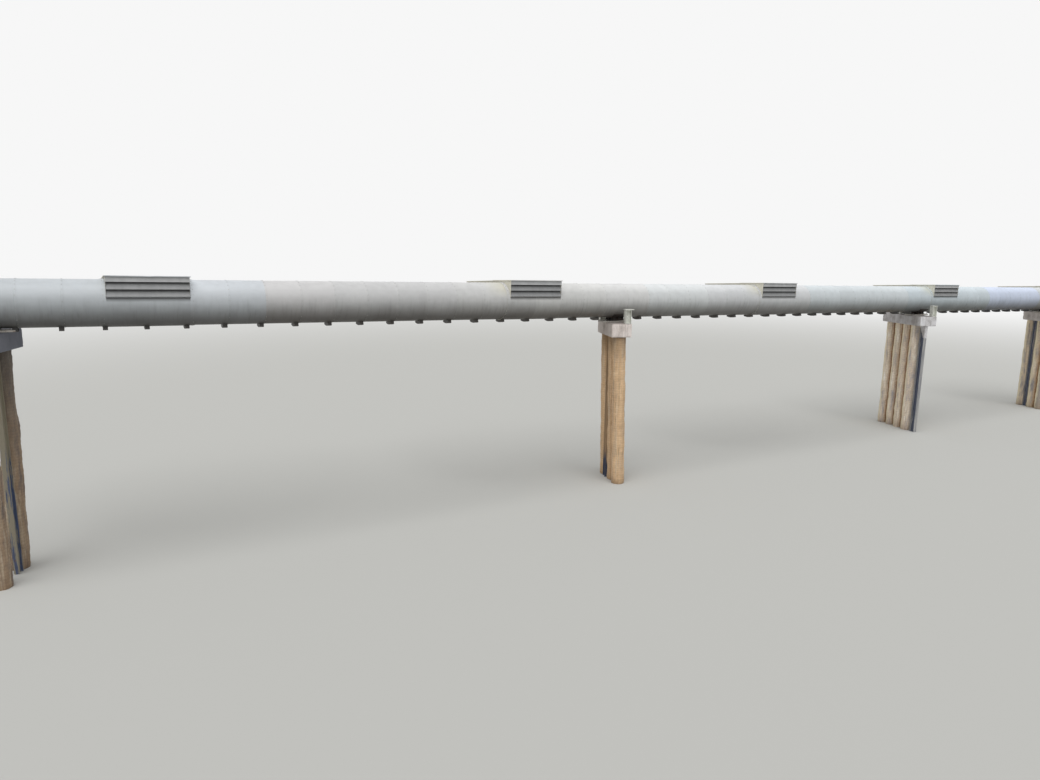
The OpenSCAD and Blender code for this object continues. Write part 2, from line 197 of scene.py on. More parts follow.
# %% Camera
EYE = Vector((-11.870, PIPE_MID.y - 11.363, 4.340))
LOOK_DOWN = math.radians(10.525)
HEADING = math.radians(29.99)
LEAN = math.radians(0.764)
FOCAL_PIXELS, PICTURE_WIDTH = 753.07, 1040
SENSOR = 36
camera_data = bpy.data.cameras.new("camera")
camera_data.sensor_width = SENSOR
camera_data.lens = FOCAL_PIXELS / PICTURE_WIDTH * SENSOR
camera_data.clip_end = 1000
camera = bpy.data.objects.new("camera", camera_data)
turn = Matrix.Rotation(-HEADING, 4, "Z") @ Matrix.Rotation(math.pi / 2 - LOOK_DOWN, 4, "X")
camera.matrix_world = Matrix.Translation(EYE) @ turn @ Matrix.Rotation(LEAN, 4, "Z")
bpy.context.collection.objects.link(camera)
bpy.context.scene.camera = camera
bpy.context.scene.view_settings.view_transform = "Standard"
print("camera at", tuple(EYE), "lens", round(camera_data.lens, 2))

# %% [markdown]
# The cladding is thin galvanised steel sheet, rolled round the insulation and screwed along its
# laps. Years outdoors have turned the bright zinc into a dull light grey, sooty underneath where
# rain never washes it. PROFILE is the change from belly to back: partly that soot and partly
# painted shade, dark on the belly, with painted light on the back. STRETCHES gives, from one
# sheet's number on, the cooler or warmer tone of a stretch, and last how far the clean part
# reaches down.

# %% Tones of the weathered sheet
# the belly's dark tones are partly soot, partly painted shade; the pale back is partly painted light
PROFILE = ((0.0, "#4d4945"), (0.07, "#524f4c"), (0.17, "#6a6866"), (0.30, "#898887"),
           (0.43, "#a4a4a4"), (0.54, "#b3b3b3"), (0.68, "#b8b8b8"), (0.80, "#b8b8b8"),
           (0.935, "#c7c7c7"), (1.0, "#cdcdcd"))
STRETCHES = ((0, (0.85, 0.90, 0.94, 0.56)), (4, (0.88, 0.93, 0.97, 0.57)),
             (6, (0.96, 1.01, 1.06, 0.57)), (8, (1.02, 1.01, 1.01, 0.52)),
             (10, (1.0, 1.0, 1.0, 0.50)), (14, (1.07, 1.07, 1.06, 0.51)),
             (17, (1.14, 1.14, 1.12, 0.55)), (20, (1.22, 1.22, 1.21, 0.57)),
             (22, (1.22, 1.26, 1.27, 0.60)),
             (25, (1.16, 1.18, 1.20, 0.57)), (31, (1.12, 1.20, 1.24, 0.55)),
             (38, (1.08, 1.20, 1.27, 0.56)), (45, (1.12, 1.24, 1.50, 0.58)),
             (50, (1.08, 1.14, 1.16, 0.54)))
HEADROOM = 1.6  # a ramp holds nothing above one, so tones are divided by this and scaled back
print("stretches of sheet:", len(STRETCHES))

# %% [markdown]
# The finish has to follow the pipe, so its pattern is moved to the pipe's middle and turned by
# the fall. A ramp by height gives the tones from belly to back, a second ramp along the pipe
# gives the stretches, and each sheet gets a slight tone of its own from its number. The border
# between clean and sooty wavers, in waves of about 400 mm.

# %% Sheet that follows the pipe
def pipe_metal(name, roughness, tone=1.0, metallic=0.15):
    """Weathered sheet that follows the pipe. Gives the material's parts to be mixed further."""
    material, tree, shader = new_material(name, roughness, metallic)
    coords = add(tree, "TexCoord")
    moved = add(tree, "VectorMath", {0: coords.outputs["Object"], 1: tuple(PIPE_MID)},
                operation="SUBTRACT")
    place = add(tree, "Mapping", {"Vector": moved, "Rotation": (0, -FALL, 0)})
    xyz = add(tree, "SeparateXYZ", {0: place})
    height = add(tree, "Math", {0: xyz.outputs["Z"], 1: PIPE_R}, operation="DIVIDE")
    along = add(tree, "MapRange", {0: xyz.outputs["X"], 1: PIPE_START, 2: -PIPE_START,
                                   3: 0.0, 4: float(SHEETS)})
    number = add(tree, "Math", {0: along}, operation="FLOOR")
    middle = add(tree, "Math", {0: number, 1: 0.5}, operation="ADD")
    middle = add(tree, "Math", {0: middle, 1: float(SHEETS)}, operation="DIVIDE")
    stops = [(start / SHEETS, (*(c * tone / HEADROOM for c in rgb), reach))
             for start, (*rgb, reach) in STRETCHES]
    stretch = add(tree, "ValToRGB", {0: middle}, stops=stops, between="CONSTANT")
    wobble = add(tree, "TexNoise", {"Vector": place, "Scale": 2.5, "Detail": 3.0})
    wobble = add(tree, "MapRange", {0: wobble, 1: 0.3, 2: 0.7, 3: -0.05, 4: 0.05})
    shifted = add(tree, "Math", {0: height, 1: stretch.outputs["Alpha"]}, operation="ADD")
    shifted = add(tree, "Math", {0: shifted, 1: wobble}, operation="ADD")
    shifted = add(tree, "MapRange", {0: shifted, 1: -0.5, 2: 1.5})
    profile = add(tree, "ValToRGB", {0: shifted}, stops=PROFILE)
    own = add(tree, "TexWhiteNoise", {"W": number}, noise_dimensions="1D")
    own = add(tree, "MapRange", {0: own, 3: HEADROOM - 0.05, 4: HEADROOM + 0.05})
    colour = add(tree, "Mix", {0: 1.0, 6: profile.outputs["Color"], 7: stretch.outputs["Color"]},
                 data_type="RGBA", blend_type="MULTIPLY")
    colour = add(tree, "VectorMath", {0: colour, "Scale": own}, operation="SCALE")
    parts = {"place": place, "xyz": xyz, "height": height, "along": along, "number": number}
    return material, tree, shader, colour, parts


print("sheets along the pipe:", SHEETS)

# %% [markdown]
# Dirt makes the sheet believable. Rain carries soot down the pipe in runs some 36 mm apart that
# grow stronger towards the belly, and the lap of each seam holds a dark line 6 mm wide. Sheets
# this thin never lie flat, so a low bump, in waves of 300 mm, makes the shine wander, as it does
# on real cladding. The zinc's crystals are about 5 mm at this scale and would not show, so their
# faint grain is drawn coarser, 14 mm wide.

# %% Dirt and shine of the sheet
RUNS_PER_METRE = 28.0
SEAM_AT, SEAM_HALF = 0.046, 0.006  # the dark line at a lap, as shares of one sheet


def weather(tree, shader, colour, parts, dirt=0.25, line=0.07):
    xyz, height = parts["xyz"], parts["height"]
    clipped = add(tree, "Clamp", {0: height, 1: -1.0, 2: 1.0})
    around = add(tree, "Math", {0: clipped}, operation="ARCCOSINE")
    streak_place = add(tree, "CombineXYZ", {
        0: add(tree, "Math", {0: xyz.outputs["X"], 1: RUNS_PER_METRE}, operation="MULTIPLY"),
        1: add(tree, "Math", {0: around, 1: 0.9}, operation="MULTIPLY"),
        2: xyz.outputs["Y"]})
    streaks = add(tree, "TexNoise", {"Vector": streak_place, "Scale": 1.0, "Detail": 4.0,
                                     "Roughness": 0.6})
    streaks = add(tree, "MapRange", {0: streaks, 1: 0.5, 2: 0.72})
    low_side = add(tree, "MapRange", {0: height, 1: 0.5, 2: -0.6, 4: dirt})
    streaks = add(tree, "Math", {0: streaks, 1: low_side}, operation="MULTIPLY")
    colour = add(tree, "Mix", {0: streaks, 6: colour, 7: "#48433e"}, data_type="RGBA")
    part = add(tree, "Math", {0: parts["along"]}, operation="FRACT")
    edge = add(tree, "Math", {0: part, 1: SEAM_AT, 2: SEAM_HALF}, operation="COMPARE")
    edge = add(tree, "Math", {0: edge, 1: line}, operation="MULTIPLY")
    colour = add(tree, "Mix", {0: edge, 6: colour, 7: "#55524e"}, data_type="RGBA")
    patches = add(tree, "TexNoise", {"Vector": parts["place"], "Scale": 9.0, "Detail": 5.0})
    tone = add(tree, "MapRange", {0: patches, 1: 0.3, 2: 0.7, 3: 0.95, 4: 1.05})
    colour = add(tree, "VectorMath", {0: colour, "Scale": tone}, operation="SCALE")
    wire(tree, colour, shader, "Base Color")
    dull = add(tree, "MapRange", {0: patches, 1: 0.3, 2: 0.7, 3: 0.42, 4: 0.58})
    wire(tree, dull, shader, "Roughness")
    waves = add(tree, "TexNoise", {"Vector": parts["place"], "Scale": 3.2, "Detail": 1.0})
    bump = add(tree, "Bump", {"Height": waves, "Distance": 0.012, "Strength": 0.35})
    grain = add(tree, "TexVoronoi", {"Vector": parts["place"], "Scale": 70.0})
    bump = add(tree, "Bump", {"Height": grain, "Distance": 0.0006, "Strength": 0.25, "Normal": bump})
    wire(tree, bump, shader, "Normal")


print("soot runs to the metre:", RUNS_PER_METRE)

# %% [markdown]
# Some dirt belongs to a vent: the stain before it and the shade under it. The vents stand at an
# even pitch, so a modulo of the distance along the pipe places that dirt at all five at once.

# %% Distance from the nearest vent
def near_vent(tree, parts, start, end):
    """One where the distance along the pipe from the nearest vent's middle passes start to end."""
    step = SHEETS_BETWEEN * SHEET
    turns = add(tree, "Math", {0: parts["xyz"].outputs["X"], 1: VENTS[0] - step / 2},
                operation="SUBTRACT")
    turns = add(tree, "Math", {0: turns, 1: step}, operation="FLOORED_MODULO")
    off = add(tree, "Math", {0: turns, 1: step / 2}, operation="SUBTRACT")
    return add(tree, "MapRange", {0: off, 1: start, 2: end})


print("sheets from vent to vent:", SHEETS_BETWEEN)

# %% [markdown]
# Hot-dip galvanised steel sheet comes bright from the zinc bath and goes chalky outdoors, so it
# scatters light and shines little. A cream stain lies on the upper side before each vent but
# the first, where what drips from the box dries.

# %% Finish of the cladding
galvanised, tree, shader, colour, parts = pipe_metal("weathered_galvanised_sheet", 0.5)
before = near_vent(tree, parts, -0.95, -0.56)
upper = add(tree, "MapRange", {0: parts["height"], 1: 0.2, 2: 0.8, 4: 0.4})
stain = add(tree, "Math", {0: before, 1: upper}, operation="MULTIPLY")
past_first = add(tree, "MapRange", {0: parts["xyz"].outputs["X"], 1: VENTS[0], 2: VENTS[0] + 1})
stain = add(tree, "Math", {0: stain, 1: past_first}, operation="MULTIPLY")
behind = add(tree, "Math", {0: near_vent(tree, parts, 0.4, 0.5), 1: -1.0, 2: 1.0},
             operation="MULTIPLY_ADD")
stain = add(tree, "Math", {0: stain, 1: behind}, operation="MULTIPLY")
colour = add(tree, "Mix", {0: stain, 6: colour, 7: "#c9c39c"}, data_type="RGBA")
weather(tree, shader, colour, parts)
print("cladding finish ready:", galvanised.name)

# %% [markdown]
# The sleeves are the same sheet. Close under the vent box a dark band is painted on, as the
# shadow of the box, and the edge of the collar that looks towards -X is painted bright, as a
# highlight, so it draws a fine line round the pipe. The hoods hang in the dirty belly of the
# pipe: the sootiest sheet of all, nearly black and matt.

# %% Finishes of the sleeves and the hoods
sleeve_sheet, tree, shader, colour, parts = pipe_metal("weathered_sleeve_sheet", 0.5)
left_of_box = near_vent(tree, parts, -0.505, -0.495)
right_of_box = near_vent(tree, parts, 0.505, 0.495)
under_box = add(tree, "Math", {0: left_of_box, 1: right_of_box}, operation="MULTIPLY")
near_side = add(tree, "MapRange", {0: parts["xyz"].outputs["Y"], 1: 0.05, 2: -0.05})
under_box = add(tree, "Math", {0: under_box, 1: near_side}, operation="MULTIPLY")
# a dark band close under the box, painted as its shadow on the sleeve
shade = add(tree, "MapRange", {0: parts["xyz"].outputs["Z"], 1: 0.030, 2: 0.075, 4: 0.85})
shade = add(tree, "Math", {0: under_box, 1: shade}, operation="MULTIPLY")
colour = add(tree, "Mix", {0: shade, 6: colour, 7: "#3c3b3a"}, data_type="RGBA")
# faces that look towards -X, the collar's edge on the left, are painted bright as a highlight
ends = add(tree, "SeparateXYZ", {0: add(tree, "NewGeometry").outputs["Normal"]})
ends = add(tree, "MapRange", {0: ends.outputs["X"], 1: -0.6, 2: -0.9, 4: 0.9})
colour = add(tree, "Mix", {0: ends, 6: colour, 7: "#dad8cc"}, data_type="RGBA")
weather(tree, shader, colour, parts, 0.2, 0.0)

hood_sheet, tree, shader, colour, parts = pipe_metal("sooty_hood_sheet", 0.6, 0.8)
weather(tree, shader, colour, parts, 0.6, 0.0)
print("sheet finishes:", sleeve_sheet.name, hood_sheet.name)

# %% [markdown]
# The vent boxes are folded from the same galvanised sheet. Their louvred faces stand upright and
# gather dust, in streaks some 70 mm wide. Each blade is painted dark at its top and lighter
# towards its lower edge, as the shade under the blade above, and the fascia under the roof is
# lighter than the blades. The end walls that look towards -X are painted pale, as a highlight. To
# the eye the faces are matt and darker than the pipe. The rows are found from the height above
# the pipe's axis, which differs a little on the far face because the roof slopes that way.

# %% Finish of the vent boxes
ROW = 0.098
NEAR_ROW, FAR_ROW = 0.290, 0.202
vent_sheet, tree, shader, colour, parts = pipe_metal("dusty_vent_sheet", 0.55, 1.0)
geometry = add(tree, "NewGeometry")
facing = add(tree, "SeparateXYZ", {0: geometry.outputs["Normal"]})
# faces that look towards -X are painted pale, as a highlight
lit_end_wall = add(tree, "MapRange", {0: facing.outputs["X"], 1: -0.6, 2: -0.9, 4: 0.85})
facing = add(tree, "Math", {0: facing.outputs["Y"]}, operation="ABSOLUTE")
facing = add(tree, "MapRange", {0: facing, 1: 0.45, 2: 0.8})
row_top = add(tree, "MapRange", {0: parts["xyz"].outputs["Y"], 1: -0.1, 2: 0.1,
                                 3: NEAR_ROW, 4: FAR_ROW})
row = add(tree, "Math", {0: row_top, 1: parts["xyz"].outputs["Z"]}, operation="SUBTRACT")
row = add(tree, "Math", {0: row, 1: ROW}, operation="DIVIDE")
under_roof = add(tree, "MapRange", {0: row, 1: -0.70, 2: -0.66})
fascia_lighter = add(tree, "MapRange", {0: row, 1: -0.02, 2: 0.02, 3: 1.4, 4: 0.87})
row = add(tree, "Math", {0: row}, operation="FRACT")
# each row is painted dark at its top and lighter below, as the shade under the blade above
row_shade_and_dust = add(tree, "ValToRGB", {0: row},
           stops=((0.0, "#4d4e4f"), (0.14, "#676869"), (0.35, "#808182"), (0.7, "#939495"),
                  (1.0, "#9b9c9d")))
dust_place = add(tree, "VectorMath", {0: parts["place"], 1: (14.0, 14.0, 4.0)}, operation="MULTIPLY")
dust = add(tree, "TexNoise", {"Vector": dust_place, "Scale": 1.0, "Detail": 4.0})
dust = add(tree, "MapRange", {0: dust, 1: 0.3, 2: 0.7, 3: 0.9, 4: 1.08})
dust = add(tree, "Math", {0: dust, 1: fascia_lighter}, operation="MULTIPLY")
row_shade_and_dust = add(tree, "VectorMath", {0: row_shade_and_dust, "Scale": dust}, operation="SCALE")
# where the painted row shade goes: the upright faces under the roof
sooty = add(tree, "Math", {0: facing, 1: under_roof}, operation="MULTIPLY")
colour = add(tree, "Mix", {0: sooty, 6: colour, 7: row_shade_and_dust}, data_type="RGBA")
colour = add(tree, "Mix", {0: lit_end_wall, 6: colour, 7: "#e0dccb"}, data_type="RGBA")
weather(tree, shader, colour, parts, 0.2, 0.0)
print("louvre rows of", ROW, "m from", NEAR_ROW, "and", FAR_ROW)

# %% [markdown]
# Caps and piles share one recipe for concrete: a mottled cloud of colours, specks of sand, small
# blow holes and a rough skin. Real grains of sand would not show, so the specks are drawn 9 mm
# wide. Blow holes of 3 to 9 mm lie some 18 mm apart on the caps, and wider ones some 30 mm apart
# on the piles. The patterns are turned off the axes, because noise that lies along them shows
# its grid on an upright face. Rain draws thin runs down both, so these have a helper too.

# %% Recipe for concrete
ASKEW = (0.6, 0.9, 0.4)


def concrete(name, stops, stretch, scale, holes, grain):
    """Mottled concrete with small blow holes. Gives the parts that dirt is laid on."""
    material, tree, shader = new_material(name, 0.92)
    place = add(tree, "TexCoord").outputs["Object"]
    drawn = add(tree, "VectorMath", {0: place, 1: (1.0, 1.0, stretch)}, operation="MULTIPLY")
    cloud = add(tree, "TexNoise", {"Vector": drawn, "Scale": scale, "Detail": 7.0, "Roughness": 0.62})
    colour = add(tree, "ValToRGB", {0: cloud}, stops=stops)
    turned = add(tree, "Mapping", {"Vector": place, "Rotation": ASKEW})
    speck = add(tree, "TexNoise", {"Vector": turned, "Scale": 110.0, "Detail": 3.0})
    tone = add(tree, "MapRange", {0: speck, 1: 0.3, 2: 0.7, 3: 0.86, 4: 1.10})
    colour = add(tree, "VectorMath", {0: colour, "Scale": tone}, operation="SCALE")
    pits = add(tree, "TexVoronoi", {"Vector": turned, "Scale": holes, "Randomness": 1.0})
    pits = add(tree, "MapRange", {0: pits, 1: 0.08, 2: 0.24})
    skin = add(tree, "TexNoise", {"Vector": turned, "Scale": 32.0, "Detail": 8.0, "Roughness": 0.7})
    bump = add(tree, "Bump", {"Height": skin, "Distance": grain * 2, "Strength": 0.7})
    bump = add(tree, "Bump", {"Height": pits, "Distance": grain, "Strength": 0.6, "Normal": bump})
    wire(tree, bump, shader, "Normal")
    xyz = add(tree, "SeparateXYZ", {0: place})
    crossing = add(tree, "MapRange", {0: xyz.outputs["X"], 1: -CROSSING_END, 2: CROSSING_END})
    return material, tree, shader, colour, {"xyz": xyz, "pits": pits, "crossing": crossing}


def down_runs(tree, width, low_cut, high_cut):
    """Thin vertical runs about width metres wide."""
    place = add(tree, "TexCoord").outputs["Object"]
    thin = add(tree, "VectorMath", {0: place, 1: (1 / width, 1 / width, 0.9)}, operation="MULTIPLY")
    runs = add(tree, "TexNoise", {"Vector": thin, "Scale": 1.0, "Detail": 4.0, "Roughness": 0.6})
    return add(tree, "MapRange", {0: runs, 1: low_cut, 2: high_cut})


print("concrete patterns turned by", ASKEW)

# %% [markdown]
# The caps are precast concrete. The steel mould leaves a close cement skin that is pale where it
# is dry and keeps every run of rain, so the faces show short dark runs from the dirty top edge.
# The faces that look towards -X are darker and browner. The first cap is painted dark blue-grey,
# as the shadow that falls on the first pier, both by its darker tint and by a blue-grey layer.
# Each pier has a tint, by its place along the crossing, and then dirt and that painted shadow go
# on in layers.

# %% Finish of the caps
TINT_ROOM = 1.5  # tints are kept under one in the ramp and scaled back by this
# the first pier's tint is darker, as painted shadow
CAP_TINTS = ((0.0, (0.62, 0.62, 0.64, 1)), (0.25, (0.74, 0.73, 0.74, 1)),
             (0.60, (0.73, 0.79, 0.87, 1)), (0.85, (0.78, 0.80, 0.84, 1)))
cap_concrete, tree, shader, colour, parts = concrete(
    "precast_cap_concrete", ((0.34, "#aea59e"), (0.48, "#d3cac3"), (0.62, "#e2dad4")),
    0.7, 5.0, 55.0, 0.0025)
tint = add(tree, "ValToRGB", {0: parts["crossing"]}, stops=CAP_TINTS, between="CONSTANT")
colour = add(tree, "Mix", {0: 1.0, 6: colour, 7: tint}, data_type="RGBA", blend_type="MULTIPLY")
colour = add(tree, "VectorMath", {0: colour, "Scale": TINT_ROOM}, operation="SCALE")
runs = add(tree, "Math", {0: down_runs(tree, 0.022, 0.47, 0.68), 1: 0.27}, operation="MULTIPLY")
normal = add(tree, "SeparateXYZ", {0: add(tree, "NewGeometry").outputs["Normal"]})
# faces that look towards -X are made darker and browner
minus_x_faces = add(tree, "MapRange", {0: normal.outputs["X"], 1: -0.35, 2: -0.8, 4: 0.40})
brown_pier = add(tree, "MapRange", {0: parts["xyz"].outputs["X"], 1: UP_TO_SECOND[0],
                                    2: UP_TO_SECOND[1], 3: 0.9, 4: 0.75})
minus_x_faces = add(tree, "Math", {0: minus_x_faces, 1: brown_pier}, operation="MULTIPLY")
upward = add(tree, "MapRange", {0: normal.outputs["Z"], 1: 0.2, 2: 0.75, 4: 0.75})
hole_dirt = add(tree, "Math", {0: parts["pits"], 1: -0.55, 2: 0.55}, operation="MULTIPLY_ADD")
# the first cap is painted dark blue-grey, as the shadow that falls on the first pier
first_pier_shadow = add(tree, "MapRange", {0: parts["xyz"].outputs["X"], 1: ON_FIRST[0], 2: ON_FIRST[1],
                              4: 0.86})
for amount, dirt in ((runs, "#7f7873"), (minus_x_faces, "#6e635b"), (upward, "#6a625c"),
                     (hole_dirt, "#7a716b"), (first_pier_shadow, "#5d6473")):
    colour = add(tree, "Mix", {0: amount, 6: colour, 7: dirt}, data_type="RGBA")
wire(tree, colour, shader, "Base Color")
print("cap finish ready:", cap_concrete.name)

# %% [markdown]
# The piles are concrete cast against rough forms: open, sandy and matt, with hollows that hold
# dirt. Cream, sand and grey lie in patches 110 mm wide and half a metre long, because water runs
# down the shafts. A ramp along the crossing gives each pier its own tint, and the second pier is
# sandier. The tints carry painted light too: the first pier's is much darker, as painted shadow,
# and the third pier's is lighter and bluer, as painted light on piles that stand in shade. Faint
# rings, 45 mm apart, show how the concrete was cast.

# %% Colours of the piles
# the first tint is painted shadow; the third is partly painted light on piles in shade
PILE_TINTS = ((0.0, (0.37, 0.34, 0.34, 1)), (0.25, (0.79, 0.69, 0.61, 1)),
              (0.60, (0.88, 0.94, 1.12, 1)), (0.85, (0.74, 0.77, 0.84, 1)))
pile_concrete, tree, shader, colour, parts = concrete(
    "rough_cast_pile_concrete",
    ((0.32, "#8f8882"), (0.42, "#b5a591"), (0.50, "#cbb596"), (0.58, "#d2c0a3"), (0.68, "#e8dbc3")),
    0.22, 9.0, 33.0, 0.004)
second = add(tree, "Math", {0: parts["xyz"].outputs["X"], 1: SECOND_PIER, 2: 1.0},
             operation="COMPARE")
sandy = add(tree, "Math", {0: second, 1: 0.6}, operation="MULTIPLY")
colour = add(tree, "Mix", {0: sandy, 6: colour, 7: "#cbb596"}, data_type="RGBA")
tint = add(tree, "ValToRGB", {0: parts["crossing"]}, stops=PILE_TINTS, between="CONSTANT")
colour = add(tree, "Mix", {0: 1.0, 6: colour, 7: tint}, data_type="RGBA", blend_type="MULTIPLY")
colour = add(tree, "VectorMath", {0: colour, "Scale": TINT_ROOM}, operation="SCALE")
light_runs = add(tree, "Math", {0: down_runs(tree, 0.045, 0.52, 0.70), 1: 0.45}, operation="MULTIPLY")
dark_runs = add(tree, "Math", {0: down_runs(tree, 0.025, 0.53, 0.72), 1: 0.55}, operation="MULTIPLY")
for amount, streak in ((light_runs, "#ddcfb8"), (dark_runs, "#6f5f50")):
    colour = add(tree, "Mix", {0: amount, 6: colour, 7: streak}, data_type="RGBA")
rings = add(tree, "TexWave", {"Vector": add(tree, "TexCoord").outputs["Object"], "Scale": 7.0,
                              "Distortion": 5.0, "Detail": 4.0, "Detail Scale": 2.1},
            bands_direction="Z")
rings = add(tree, "MapRange", {0: rings.outputs["Fac"], 3: 0.93, 4: 1.04})
colour = add(tree, "VectorMath", {0: colour, "Scale": rings}, operation="SCALE")
print("pile colours ready:", pile_concrete.name)

# %% [markdown]
# Then the piles get their dirt, and some painted light and shade. The sides between neighbouring
# piles take a rusty brown, partly dirt that rain never washes off and partly painted shade, drawn
# from an attribute that the pile pieces carry. Past the second pier the near side is grey and the
# left edges are painted cream, as a highlight. The first pier is painted dark at the top, as the
# shadow that falls on it, the second is painted darker under its cap, as its shade, and every
# foot is splashed brown.

# %% Dirt of the piles
beyond = add(tree, "MapRange", {0: parts["xyz"].outputs["X"], 1: PAST_SECOND[0], 2: PAST_SECOND[1]})
grey_side = add(tree, "MapRange", {0: parts["xyz"].outputs["Y"], 1: -0.60, 2: -0.66, 4: 0.75})
grey_side = add(tree, "Math", {0: grey_side, 1: beyond}, operation="MULTIPLY")
# brown between the piles: partly dirt, partly painted shade
gap_dirt_and_shade = add(tree, "Attribute", attribute_name="shelter")
gap_dirt_and_shade = add(tree, "MapRange", {0: gap_dirt_and_shade.outputs["Fac"], 1: 0.1, 2: 0.8, 4: 0.8})
facing = add(tree, "SeparateXYZ", {0: add(tree, "NewGeometry").outputs["Normal"]})
# the left edges, with normals towards +Y, are painted cream as a highlight
cream_highlight = add(tree, "MapRange", {0: facing.outputs["Y"], 1: 0.05, 2: 0.55, 4: 0.8})
cream_highlight = add(tree, "Math", {0: cream_highlight, 1: beyond}, operation="MULTIPLY")
# the top of the first pier's piles is painted dark, as the shadow that falls on them
first_pier_top_shadow = add(tree, "MapRange", {0: parts["xyz"].outputs["Z"], 1: 1.4, 2: 3.0, 4: 0.75})
first = add(tree, "MapRange", {0: parts["xyz"].outputs["X"], 1: ON_FIRST[0], 2: ON_FIRST[1]})
first_pier_top_shadow = add(tree, "Math", {0: first_pier_top_shadow, 1: first}, operation="MULTIPLY")
# the second pier's piles are painted darker under the cap, as its shade
under_cap = add(tree, "MapRange", {0: parts["xyz"].outputs["Z"], 1: 2.35, 2: 2.75, 4: 0.5})
under_cap = add(tree, "Math", {0: under_cap, 1: second}, operation="MULTIPLY")
foot = add(tree, "MapRange", {0: parts["xyz"].outputs["Z"], 1: 0.25, 2: 0.0, 4: 0.45})
for amount, dirt in ((grey_side, "#9c9389"), (gap_dirt_and_shade, "#9c7046"), (cream_highlight, "#efe3c4"),
                     (first_pier_top_shadow, "#565759"), (under_cap, "#57483a"), (foot, "#7b6046")):
    colour = add(tree, "Mix", {0: amount, 6: colour, 7: dirt}, data_type="RGBA")
wire(tree, colour, shader, "Base Color")
print("pile finish ready:", pile_concrete.name)

# %% [markdown]
# The steel of the piers is painted and neglected. Paint goes chalky in patches some 80 mm wide,
# rust creeps out of scratches in ragged spots under 40 mm and runs down in streaks 20 mm wide,
# and dust lies on what faces up. One function makes every painted steel: it takes the paint, the
# amount of rust and the amount of dust.

# %% Recipe for painted steel
RUST = "#6a4128"


def painted(name, paint, rust, dust, roughness=0.5):
    material, tree, shader = new_material(name, roughness)
    place = add(tree, "TexCoord").outputs["Object"]
    chalk = add(tree, "TexNoise", {"Vector": place, "Scale": 12.0, "Detail": 5.0})
    tone = add(tree, "MapRange", {0: chalk, 1: 0.3, 2: 0.7, 3: 0.84, 4: 1.12})
    colour = add(tree, "VectorMath", {0: linear(paint)[:3], "Scale": tone}, operation="SCALE")
    spots = add(tree, "TexNoise", {"Vector": place, "Scale": 26.0, "Detail": 8.0, "Roughness": 0.7})
    spots = add(tree, "MapRange", {0: spots, 1: 0.66 - rust * 0.2, 2: 0.72 - rust * 0.15})
    runs = add(tree, "Math", {0: down_runs(tree, 0.02, 0.55, 0.8), 1: rust}, operation="MULTIPLY")
    normal = add(tree, "SeparateXYZ", {0: add(tree, "NewGeometry").outputs["Normal"]})
    lying = add(tree, "MapRange", {0: normal.outputs["Z"], 1: 0.2, 2: 0.9, 4: dust})
    for amount, dirt in ((spots, RUST), (runs, "#5b4231"), (lying, "#8e857b")):
        colour = add(tree, "Mix", {0: amount, 6: colour, 7: dirt}, data_type="RGBA")
    wire(tree, colour, shader, "Base Color")
    dull = add(tree, "MapRange", {0: spots, 3: roughness, 4: 0.9})
    wire(tree, dull, shader, "Roughness")
    bump = add(tree, "Bump", {"Height": spots, "Distance": 0.0012, "Strength": 0.6})
    bump = add(tree, "Bump", {"Height": chalk, "Distance": 0.0015, "Strength": 0.3, "Normal": bump})
    wire(tree, bump, shader, "Normal")
    return material, tree, shader, colour, normal


print("rust is", [round(value, 3) for value in linear(RUST)])

# %% [markdown]
# Four pieces take that recipe as it is. The sole plates have an old light paint that has gone
# chalky, so they look dry and dusty. The saddles are brushed with black paint and dulled by soot,
# and their near-black colour is partly painted shade, as they sit in the shade under the pipe. The
# guide stubs have a smooth pale grey coat, made lighter still as painted light, since they too
# stand in the shade under the pipe. The carrier pipe only has a red-brown primer, rusty and flat,
# which shows at its two open ends.

# %% Painted plates, saddles, guides and pipe
sole_paint = painted("chalky_sole_plate_paint", "#b9b4ac", 0.25, 0.3)[0]
# near-black paint and soot, partly painted shade
saddle_paint = painted("sooty_saddle_paint", "#26211e", 0.5, 0.25, 0.7)[0]
# pale grey paint, lightened further as painted light
guide_paint = painted("pale_grey_guide_paint", "#dadbd3", 0.06, 0.25)[0]
pipe_primer = painted("red_brown_pipe_primer", "#4a3a33", 0.6, 0.2, 0.65)[0]
print("painted steels:", sole_paint.name, saddle_paint.name, guide_paint.name, pipe_primer.name)

# %% [markdown]
# The posts are rolled steel sections with a dark blue paint, which shines a little where it is
# bare. Dried dirt and cement dust cover most of it on the first two, in ragged patches some
# 40 mm wide and 600 mm long. Of POST_DUST, the first value says how much, and the second at what
# share of POST_HIGH it closes over the paint for good. Past the first pier the blue is slatier,
# and past the second the near flange is worn pale.

# %% Paint and dust of the posts
POST_HIGH = 4.0
POST_DUST = ((0.0, (0.53, 0.42, 0, 1)), (0.25, (0.34, 0.11, 0, 1)), (0.60, (0.38, 1.0, 0, 1)),
             (0.85, (0.42, 1.0, 0, 1)))
DUST_COLOUR = ((0.0, "#97907f"), (0.25, "#a88f72"), (0.60, "#a3a19d"), (0.85, "#9a9087"))
post_paint, tree, shader, colour, normal = painted("dark_blue_post_paint", "#4f5b78", 0.22, 0.4)
xyz = add(tree, "SeparateXYZ", {0: add(tree, "TexCoord").outputs["Object"]})
crossing = add(tree, "MapRange", {0: xyz.outputs["X"], 1: -CROSSING_END, 2: CROSSING_END})
dust = add(tree, "ValToRGB", {0: crossing}, stops=POST_DUST, between="CONSTANT")
dust = add(tree, "SeparateColor", {0: dust})
dust_colour = add(tree, "ValToRGB", {0: crossing}, stops=DUST_COLOUR, between="CONSTANT")
